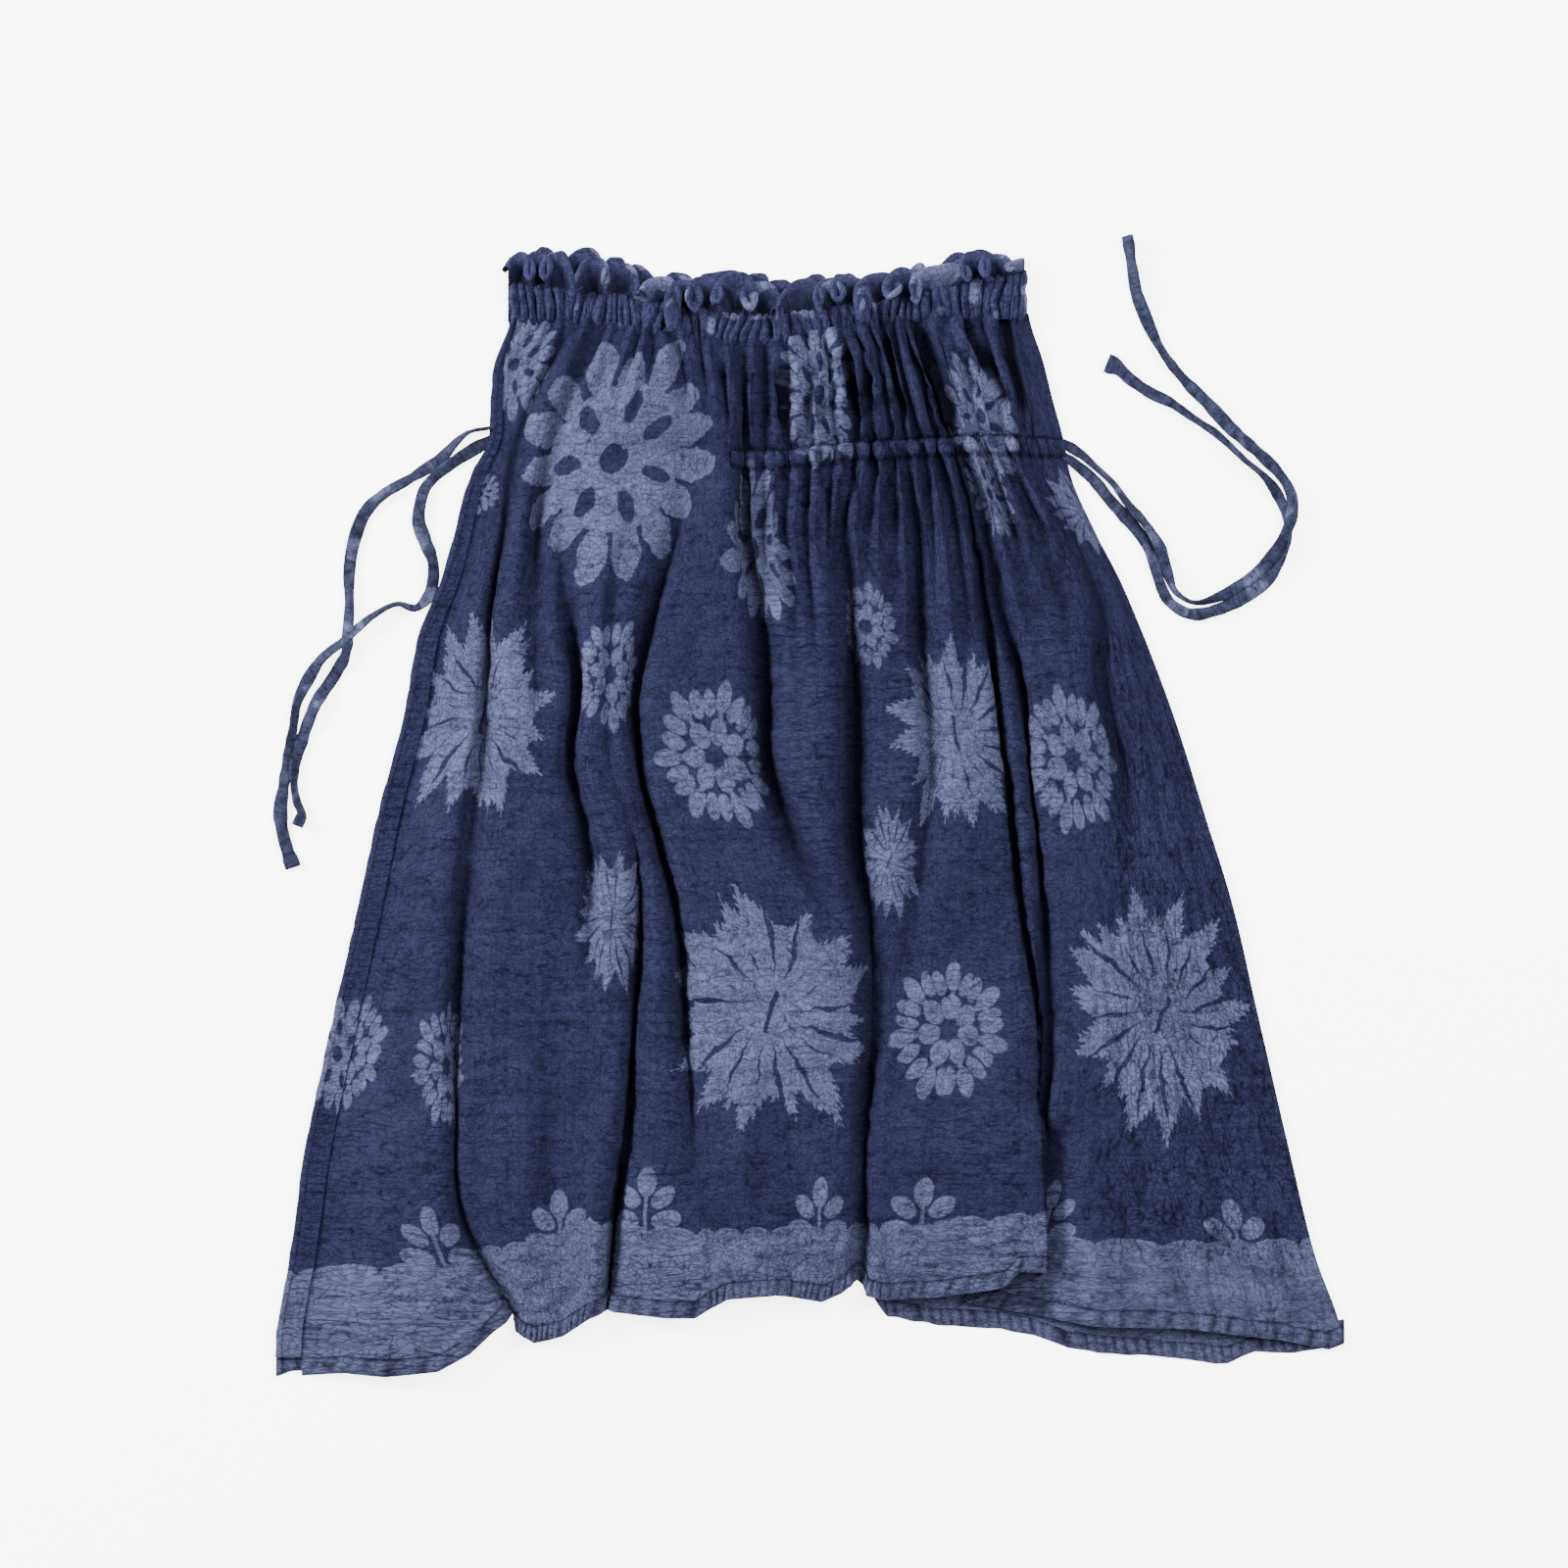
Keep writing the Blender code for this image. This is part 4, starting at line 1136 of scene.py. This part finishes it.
def channel_band():
    """Drawstring channel at the hip, between two pinched lines of stitching."""
    rows = CHANNEL_DROP + column(CHANNEL_SECTION, 0)
    lift = 1.4 + column(CHANNEL_SECTION, 1)[:, None]
    places = np.linspace(FIRST_HIP_RIDGE - 0.25, len(RIDGES) - 0.01, CHANNEL_COLUMNS)
    return front_piece("hip_channel_cloth", places, rows, lift, channel_gathers)


# Back of the skirt


def back_line(drops, share):
    """x of the back at shares from its right edge (0) to the middle of its rolled left edge (1)."""
    left = side(drops, 1) + ROLL_HEIGHT / 2
    right = side(drops, 2)
    return right + (left - right) * share


def back_layers(u, drop, x):
    """Layers of the back's cloth: its border, one print at its left edge, and a little painted shade."""
    border = line_at(x, BACK_BORDER, 1)
    faces = (drop.shape[0] - 1, drop.shape[1] - 1)
    motif, kind = blank_print(faces)
    middle_x, middle_drop, half_x, half_y = BACK_PRINT
    p, q = corners((x - middle_x) / half_x)[:, ::-1], corners((middle_drop - drop) / half_y)[:, ::-1]
    rolled = np.arange(faces[1])[None, :] < ROLL_STEPS + FLAP_STEPS
    here = (np.hypot(p.mean(axis=-1), q.mean(axis=-1)) < PRINT_REACH) & rolled
    turned = [3, 2, 1, 0]
    motif[here] = paired(p, q)[here][:, turned]
    kind[here] = (KINDS.index("rosette"), half_x / LAYER_UNIT)
    return {
        "cloth": paired(u, drop)[:, ::-1] / LAYER_UNIT,
        "motif": motif,
        "kind": kind,
        "edge": paired(drop - border, x - side(drop, 1))[:, ::-1] / LAYER_UNIT,
        # A little painted shade over the whole back, which lies under the front
        "upright_and_painted_shade": paired(0 * drop + 0.3, 0 * drop + 0.1)[:, ::-1],
    }


def back_shell():
    """The back's cloth: flat under the front, then rolled up and over at the left edge."""
    nominal = np.linspace(PANEL_TOP, PANEL_END - HEM_WIDTH, BACK_ROWS)
    seam = real_drop(0 * nominal, nominal, side(nominal, 1))
    hem = column(BACK_HEM, 1)[::-1] - HEM_WIDTH
    hem_x = column(BACK_HEM, 0)[::-1]
    shares = (np.clip((seam - seam[0]) / (seam[-1] - seam[0]), 0, 1))[:, None]
    t = np.linspace(0, 1, BACK_COLUMNS)[None, :]
    guess = back_line(nominal[:, None], t)
    end_x = back_line(np.array([[730.0]]), t)
    low = np.interp(-end_x, -hem_x, hem) + 0 * guess
    high = waist_line(guess, 2)
    drops = high + (low - high) * shares
    x = back_line(drops, t)
    edge = drops[:, -1:]
    left = side(edge, 1)
    over = left + side(edge, 3)
    radius = ROLL_HEIGHT / 2
    angles = np.linspace(0, math.pi, ROLL_STEPS + 1)[None, 1:]
    part = np.linspace(0, 1, FLAP_STEPS + 1)[None, 1:]
    roll_x = left + radius - radius * np.sin(angles)
    flap_x = left + radius + (over - left - radius) * part
    roll_z = radius - radius * np.cos(angles) + 0 * left
    flap_z = ROLL_HEIGHT + 0 * left + 0 * part
    drops = np.concatenate([drops, np.repeat(edge, ROLL_STEPS + FLAP_STEPS, axis=1)], axis=1)
    all_x = np.concatenate([x, roll_x, flap_x], axis=1)
    z = np.concatenate([0 * x + 0.2, roll_z, flap_z], axis=1)
    surface = np.stack([all_x, WAIST_Y - drops, z], axis=-1)
    arcs = arc_lengths(surface)
    u = np.repeat(arcs[BACK_MASTER_ROW][None, :], len(nominal), axis=0)
    rough = noise(u / 7, drops / 9, 71) * 0.8 + noise(u / 20, drops / 30, 73) * 0.5
    facing_up = np.concatenate([np.ones_like(x), -np.cos(angles) + 0 * left, 1 + 0 * flap_z], axis=1)
    surface[..., 2] += rough * np.clip(facing_up, 0, 1)
    rolled = slice(-ROLL_STEPS - FLAP_STEPS, -FLAP_STEPS)
    surface[:, rolled, 0] -= 0.9 * (noise(u / 5, drops / 8, 75)[:, rolled] - 0.3)
    layers = back_layers(u, drops, surface[..., 0])
    return grid_mesh("back_cloth", surface[:, ::-1], layers, PRINTED)


def back_hem_band():
    """Turned hem of the back, along its whole width."""
    t = np.linspace(0, 1, BACK_HEM_COLUMNS)
    x = BACK_HEM_RIGHT - BACK_HEM_WIDTH * t
    hem = np.interp(-x, -column(BACK_HEM, 0)[::-1], column(BACK_HEM, 1)[::-1])
    along = column(BACK_HEM_SECTION, 0)[:, None]
    lift = column(BACK_HEM_SECTION, 1)[:, None]
    u = BACK_HEM_WIDTH * t[None, :] + 0 * along
    drop = hem[None, :] - HEM_WIDTH + along
    pucker = valleys(u + along * 0.2, 8.5, 5, 81) * bump(along, 6, 6)
    z = lift - 1.2 * pucker * (lift > 1) + 0.5 * sway(u / 5, along / 6, 83)
    points = np.stack([x[None, :] + 0 * along, WAIST_Y - drop, np.maximum(z, 0.15)], axis=-1)
    points[..., 1] += 2.2 * sway(u / 10, 0, 85) * (along > 8)
    layers = back_layers(u, drop, points[..., 0])
    # The whole band is a little darker; painted shade in the puckers and along the step at the stitching
    dark = 0.16 + 0.9 * pucker**0.7 + 0.6 * bump(along, 0.2, 0.9)
    layers["upright_and_painted_shade"][..., 1] = np.clip(dark, 0, 1)[:, ::-1]
    return grid_mesh("back_hem_fold", points[:, ::-1], layers, PRINTED)


# Waist


def casing_cloth():
    """Shirred casing: fine uneven upright pleats, pinched at both edges."""
    x = np.linspace(CASING_LEFT + 0.5, CASING_RIGHT + 1.5, CASING_COLUMNS)[None, :]
    part = np.linspace(0, 1, CASING_ROWS)[:, None]
    x = x + 0 * part
    drop = waist_line(x, 1) - 1 + (waist_line(x, 2) - waist_line(x, 1) + 3) * part
    from_middle = np.abs(2 * part - 1)
    crown = np.clip(1 - from_middle**3.2, 0, 1)
    lean = 2.2 * sway(x / 30, part * 1.5, 91) * np.sin(math.pi * part)
    pleat = valleys(x + lean, 6.6, part * 0.9, 93)
    small = crease((x + lean) / 3.4, part * 2.2, 95, 1.8)
    puff = 1.2 * sway(x / 11, part * 3, 97)
    z = CASING_THICKNESS + 2.2 + 4.6 * crown - 5.4 * pleat * (0.5 + 0.5 * crown) - 1.5 * small + puff
    y = WAIST_Y - drop + 3.4 * sway(x / 6, 1, 99) * from_middle**4
    inset = np.minimum(x - CASING_LEFT, CASING_RIGHT + 2 - x)
    z = z - 5.0 * (1 - smooth_step(inset, 0, 5)) ** 2
    x = x + 2.4 * sway(part * 5, 0, 101) * (1 - smooth_step(inset, 0, 9))
    points = np.stack([x, y, z], axis=-1)
    middle = CASING_ROWS // 2
    arcs = np.repeat(arc_lengths(points)[middle:middle + 1], len(points), axis=0)
    # Painted shade in the pleats and creases, and towards both pinched edges
    dark = np.clip(0.85 * pleat**1.3 + 0.15 * small**2 + 0.2 * from_middle**6, 0, 1)
    layers = {"cloth": paired(arcs * 0.8, drop) / LAYER_UNIT, "upright_and_painted_shade": paired(0 * x + 0.85, dark)}
    return grid_mesh("front_casing_cloth", points, layers, PATCHED)


def back_casing_cloth():
    """Back half of the casing, hidden under the front half."""
    x = np.linspace(CASING_LEFT, CASING_RIGHT, BACK_CASING_COLUMNS)[None, :]
    part = np.linspace(0, 1, BACK_CASING_ROWS)[:, None]
    x = x + 0 * part
    drop = waist_line(x, 1) + (waist_line(x, 2) - waist_line(x, 1)) * part
    z = CASING_THICKNESS - 0.9 - 1.3 * crease(x / 6, part, 101, 1.4)
    points = np.stack([x, WAIST_Y - drop, z], axis=-1)
    # Painted shade over the whole back half of the casing, which lies under the front half
    layers = {"cloth": paired(x * 1.5, drop) / LAYER_UNIT, "upright_and_painted_shade": paired(0 * x + 0.85, 0 * x + 0.3)}
    return grid_mesh("back_casing_cloth", points, layers, PATCHED)


def rolled_rim(edge, inner, size):
    """Points of a rolled rim beyond the edge of a sheet, whose third last row is inner, and their angles."""
    outward = unit(edge - inner)
    along = unit(np.gradient(edge, axis=0))
    up = unit(np.cross(along, outward))
    up = np.where(up[:, 2:] < 0, -up, up)
    angles = np.linspace(0, 1.8 * math.pi, RIM_ROWS + 1)[1:]
    rim = [edge - up * size + size * (up * math.cos(angle) + outward * math.sin(angle)) for angle in angles]
    return np.array(rim), angles


def ruffle_cloth(name, curls, root_z, rise, swing, reach, droops, seed):
    """Ruffle heading: its rim runs in loops, out at the crests and curled over the casing between.

    Root_z is the height where it leaves the casing, rise how much higher its curls go and swing how
    far its loops lean sideways, all mm. Reach is the share of the ruffle's height in the WAIST table.
    """
    count = curls * LOOP_COLUMNS
    s = np.linspace(0, 1, count)[None, :]
    phase = 2 * math.pi * curls * s + 1.5 * np.sin(2 * math.pi * 3.3 * s + seed)
    phase = phase + 1.2 * np.sin(2 * math.pi * 7.1 * s + 2 * seed)
    loop = phase / (2 * math.pi)
    size = 0.7 + 0.6 * noise(loop, 0, seed)
    w = np.linspace(0, 1, RUFFLE_ROWS)[:, None]
    base_x = CASING_LEFT + 0.5 + (CASING_RIGHT - CASING_LEFT - 0.5) * s + 0 * w
    height = (waist_line(base_x, 1) - waist_line(base_x, 3)) * reach
    droop = 0 * s
    for centre, half, amount in droops:
        droop = droop + amount * bump(base_x[:1], centre, half)
    out = 0.5 + 0.5 * np.cos(phase)
    curled = np.clip((1 - out) ** 1.4 * (0.55 + 0.5 * size), 0, 1)
    ragged = 4.0 * sway(loop * 2.2, 0, seed + 11) + 2.2 * sway(loop * 5.3, 0, seed + 12)
    end_y = height * (1.0 - 0.72 * curled - 1.1 * droop * (1 - out)) + ragged
    belly = 1.9 * height * (curled * 0.5 + 0.45 * droop)
    ends = smooth_step(np.minimum(s, 1 - s), 0, 0.03)
    x = base_x + swing * (1.7 * size - 0.7) * ends * (1 + 0.7 * droop) * np.sin(phase) * w**1.3
    x = x + 3.0 * sway(loop * 2.9, 0, seed + 13) * ends * w
    y = WAIST_Y - waist_line(base_x, 1) - 2.5 + (end_y + 2.0) * w**1.6 + belly * w * (1 - w)
    z = root_z + rise * (curled * 1.1 + 0.5 * droop) * w**0.8
    z = z - 0.35 * root_z * out * w + 1.2 * np.sin(math.pi * w)
    body = np.stack([x, y, z], axis=-1)
    wrinkle = 0.6 * crease(loop * 3.4 + w * 0.5, w * 1.6, seed + 2, 1.6)
    wrinkle = wrinkle + 0.5 * crease(loop * 8.3, w * 2.2, seed + 6, 1.6)
    body[..., 2] -= 2.4 * wrinkle * (1 - 0.3 * w)
    rim_size = RIM * (0.8 + 0.4 * noise(loop[0] * 2.3, 0, seed + 4))[:, None]
    rim, angles = rolled_rim(body[-1], body[-3], rim_size)
    points = np.concatenate([body, rim], axis=0)
    row = np.arange(len(points))[:, None]
    points[..., 2] += 1.2 * sway(loop * 9, row / 3.5, seed + 1)
    points[..., 1] += 1.0 * sway(loop * 8, row / 4.0, seed + 9)
    points[..., 2] = np.clip(points[..., 2], 0.4, RUFFLE_TOP)
    arcs = np.repeat(arc_lengths(body[-1:]), len(points), axis=0)
    steps = np.linalg.norm(np.diff(points, axis=0), axis=-1)
    down = np.concatenate([np.zeros((1, count)), np.cumsum(steps, axis=0)], axis=0)
    # Painted shade: in the pockets between the curls, in the wrinkles, and under the rolled rim
    inside = 0.15 + 0.75 * out * (1 - w) ** 0.6 + 0.25 * wrinkle**1.5
    rim_painted_shade = 0.25 * bump(angles, 4.5, 1.2)[:, None] + 0 * s
    dark = np.concatenate([inside * smooth_step(1 - w, 0, 0.25), rim_painted_shade], axis=0)
    layers = {
        "cloth": paired(arcs * 0.8, down) / LAYER_UNIT,
        "upright_and_painted_shade": paired(0 * arcs + 0.6, np.clip(dark, 0, 1)),
    }
    return grid_mesh(name, points, layers, PATCHED)


# Drawstring


def tie_route(rows, count):
    """Even points along a tie from inside the side seam, its length, and how far along each is, all mm."""
    rows = np.array(rows, dtype=float)
    rows = np.concatenate([rows[:1] - TIE_TUCK * unit(rows[1:2] - rows[:1]), rows])
    steps = np.linalg.norm(np.diff(rows[:, :2], axis=0), axis=1)
    along = np.concatenate([[0], np.cumsum(steps)])
    at = np.linspace(0, along[-1], count)
    x, drop, lift = (smooth_curve(at, along, rows[:, i]) for i in range(3))
    return np.stack([x, WAIST_Y - drop, np.maximum(lift, 0)], axis=-1), along[-1], at


def squared(value, power=0.8):
    """A sine or cosine that gives a ring broader corners."""
    return np.sign(value) * abs(value) ** power


def tie_cloth(name, rows, seed):
    """Flat crinkled tube of cloth that twists here and there and ends in a folded tip."""
    centre, length, at = tie_route(rows, TIE_ROWS)
    forward = unit(np.gradient(centre, axis=0))
    aside = unit(np.cross([0, 0, 1.0], forward))
    up = np.cross(forward, aside)
    twist = 1.25 * np.sin(at / 34 + seed) * bump(np.sin(at / 61 + seed * 2), 0.9, 0.7)
    twist = twist + 0.35 * np.sin(at / 13 + seed)
    width = 4.3 + 0.5 * np.sin(at / 19 + seed) + 1.0 * sway(at / 7, 0, seed)
    tip = smooth_step(at, length - 13, length - 6)
    width = width * (1 + 0.35 * tip) * (0.55 + 0.45 * smooth_step(at, 0, 12))
    thick = 1.15 + 0.35 * noise(at / 9, 0, seed + 3) + 0.5 * tip
    centre[:, 2] += np.abs(np.cos(twist)) * thick + np.abs(np.sin(twist)) * width + 0.25
    turn, lean = np.cos(twist)[:, None], np.sin(twist)[:, None]
    ring = []
    for angle in np.linspace(0, 2 * math.pi, TIE_COLUMNS + 1)[:-1]:
        crinkle = 0.5 * sway(at / 3.4, angle, seed + 5)
        a = squared(math.cos(angle)) * width * (1 + 0.12 * crinkle)
        b = squared(math.sin(angle)) * thick + crinkle * np.sign(math.sin(angle) + 1e-9) * 0.6
        sideways = (aside * turn + up * lean) * a[:, None]
        upwards = (up * turn - aside * lean) * b[:, None]
        ring.append(centre + sideways + upwards)
    points = np.stack(ring, axis=1)
    closed_start = points[:1] * 0.2 + centre[:1, None] * 0.8
    closed_end = points[-1:] * 0.2 + centre[-1:, None] * 0.8
    points = np.concatenate([closed_start, points, closed_end])
    reach = np.concatenate([[at[0]], at, [at[-1]]])
    count = points.shape[1]
    around = np.repeat(np.arange(count)[None] * 1.1, len(reach), axis=0)
    cloth = paired(around, np.repeat(reach[:, None], count, axis=1))
    # Painted shade in the creases of the crinkles
    crinkled = 0.6 * crease(cloth[..., 0] / 2.5, cloth[..., 1] / 6, seed + 7, 2)
    layers = {"cloth": cloth / LAYER_UNIT, "upright_and_painted_shade": paired(0 * crinkled + 0.4, crinkled)}
    piece = grid_mesh(name, points, layers, TIE_CLOTH, closed=True)
    path = centre * TO_METRES
    return piece


# The photograph's view


def camera():
    """Camera straight above the middle of the picture."""
    data = bpy.data.cameras.new("camera")
    data.sensor_width = SENSOR
    data.lens = SENSOR * CAMERA_HEIGHT / VIEW_WIDTH
    holder = bpy.data.objects.new("camera", data)
    holder.location = (*VIEW_MIDDLE, CAMERA_HEIGHT)
    bpy.context.collection.objects.link(holder)
    bpy.context.scene.camera = holder


def floor():
    """The white surface under the skirt."""
    mesh = bpy.data.meshes.new("floor")
    turns = ((-1, -1), (1, -1), (1, 1), (-1, 1))
    mesh.from_pydata([(x * FLOOR_HALF, y * FLOOR_HALF, 0) for x, y in turns], [], [(0, 1, 2, 3)])
    ground = bpy.data.objects.new("floor", mesh)
    bpy.context.collection.objects.link(ground)
    material = bpy.data.materials.new("floor")
    material.use_nodes = True
    shader = material.node_tree.nodes["Principled BSDF"]
    shader.inputs["Base Color"].default_value = (0.95, 0.95, 0.95, 1)
    shader.inputs["Roughness"].default_value = 0.9
    shader.inputs["Specular IOR Level"].default_value = 0.0
    shader.inputs["Emission Color"].default_value = (1, 1, 1, 1)
    shader.inputs["Emission Strength"].default_value = FLOOR_GLOW
    mesh.materials.append(material)
    return ground


def lights():
    """Even light from all sides, and two soft lamps that aim at the skirt."""
    world = bpy.data.worlds.new("studio")
    world.use_nodes = True
    world.node_tree.nodes["Background"].inputs[0].default_value = (1, 1, 1, 1)
    world.node_tree.nodes["Background"].inputs[1].default_value = WORLD_LIGHT
    bpy.context.scene.world = world
    for name, place, size, power in LIGHTS:
        data = bpy.data.lights.new(name, "AREA")
        data.shape = "DISK"
        data.size = size
        data.energy = power
        lamp = bpy.data.objects.new(name, data)
        lamp.location = place
        aim = -np.array(place) / np.linalg.norm(place)
        tilt = math.acos(-aim[2])
        lamp.rotation_euler = (0, 0, 0)
        lamp.rotation_mode = "QUATERNION"
        axis = np.cross([0, 0, -1.0], aim)
        axis = axis / max(np.linalg.norm(axis), 1e-9)
        lamp.rotation_quaternion = (math.cos(tilt / 2), *(axis * math.sin(tilt / 2)))
        bpy.context.collection.objects.link(lamp)


camera()
PRINTED = crepe("printed crepe", BASE, printed=True)
PATCHED = crepe("waist crepe", WAIST_BASE, patches=0.40)
TIE_CLOTH = crepe("tie crepe", TIE_BASE, patches=0.40, depth=0.0006)
left_outer = tie_cloth("tie_left_outer_cloth", TIE_LEFT_OUTER, 1.0)
left_inner = tie_cloth("tie_left_inner_cloth", TIE_LEFT_INNER, 2.3)
right_upper = tie_cloth("tie_right_upper_cloth", TIE_RIGHT_UPPER, 3.1)
right_lower = tie_cloth("tie_right_lower_cloth", TIE_RIGHT_LOWER, 4.7)
# Distance along the cloth, mm, at each place of one row of the front, which all its pieces share
MASTER_PLACES = front_places(MASTER_COLUMNS)
MASTER_U = arc_lengths(shaped(MASTER_PLACES[None, :], MASTER_DROP + 0 * MASTER_PLACES[None, :])[0])[0]
PRINT_PLACES = print_centres()
front = front_shell()
front_fold = front_hem_band()
channel = channel_band()
back = back_shell()
back_fold = back_hem_band()
casing = casing_cloth()
back_band = back_casing_cloth()
heading = ruffle_cloth(
    "front_ruffle_cloth", curls=18, root_z=8.5, rise=9.5, swing=5.6, reach=1.0, droops=DROOPS, seed=5.0
)
back_heading = ruffle_cloth(
    "back_ruffle_cloth", curls=15, root_z=4.6, rise=1.6, swing=4.0, reach=1.12, droops=(), seed=8.0
)

for piece, nodes, finish_slot in (
    (left_outer, ["tie_left_outer"], "tie"),
    (left_inner, ["tie_left_inner"], "tie"),
    (right_upper, ["tie_right_upper"], "tie"),
    (right_lower, ["tie_right_lower"], "tie"),
    (front, ["front_panel"], "crepe"),
    (front_fold, ["front_hem"], "hem"),
    (channel, ["hip_channel"], "crepe"),
    (back, ["back_panel"], "crepe"),
    (back_fold, ["back_hem"], "hem"),
    (casing, ["front_casing"], "casing"),
    (back_band, ["back_casing"], "casing"),
    (heading, ["front_ruffle"], "casing"),
    (back_heading, ["back_ruffle"], "casing"),
):
    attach(piece, "root")
    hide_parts(*nodes)

floor()
lights()
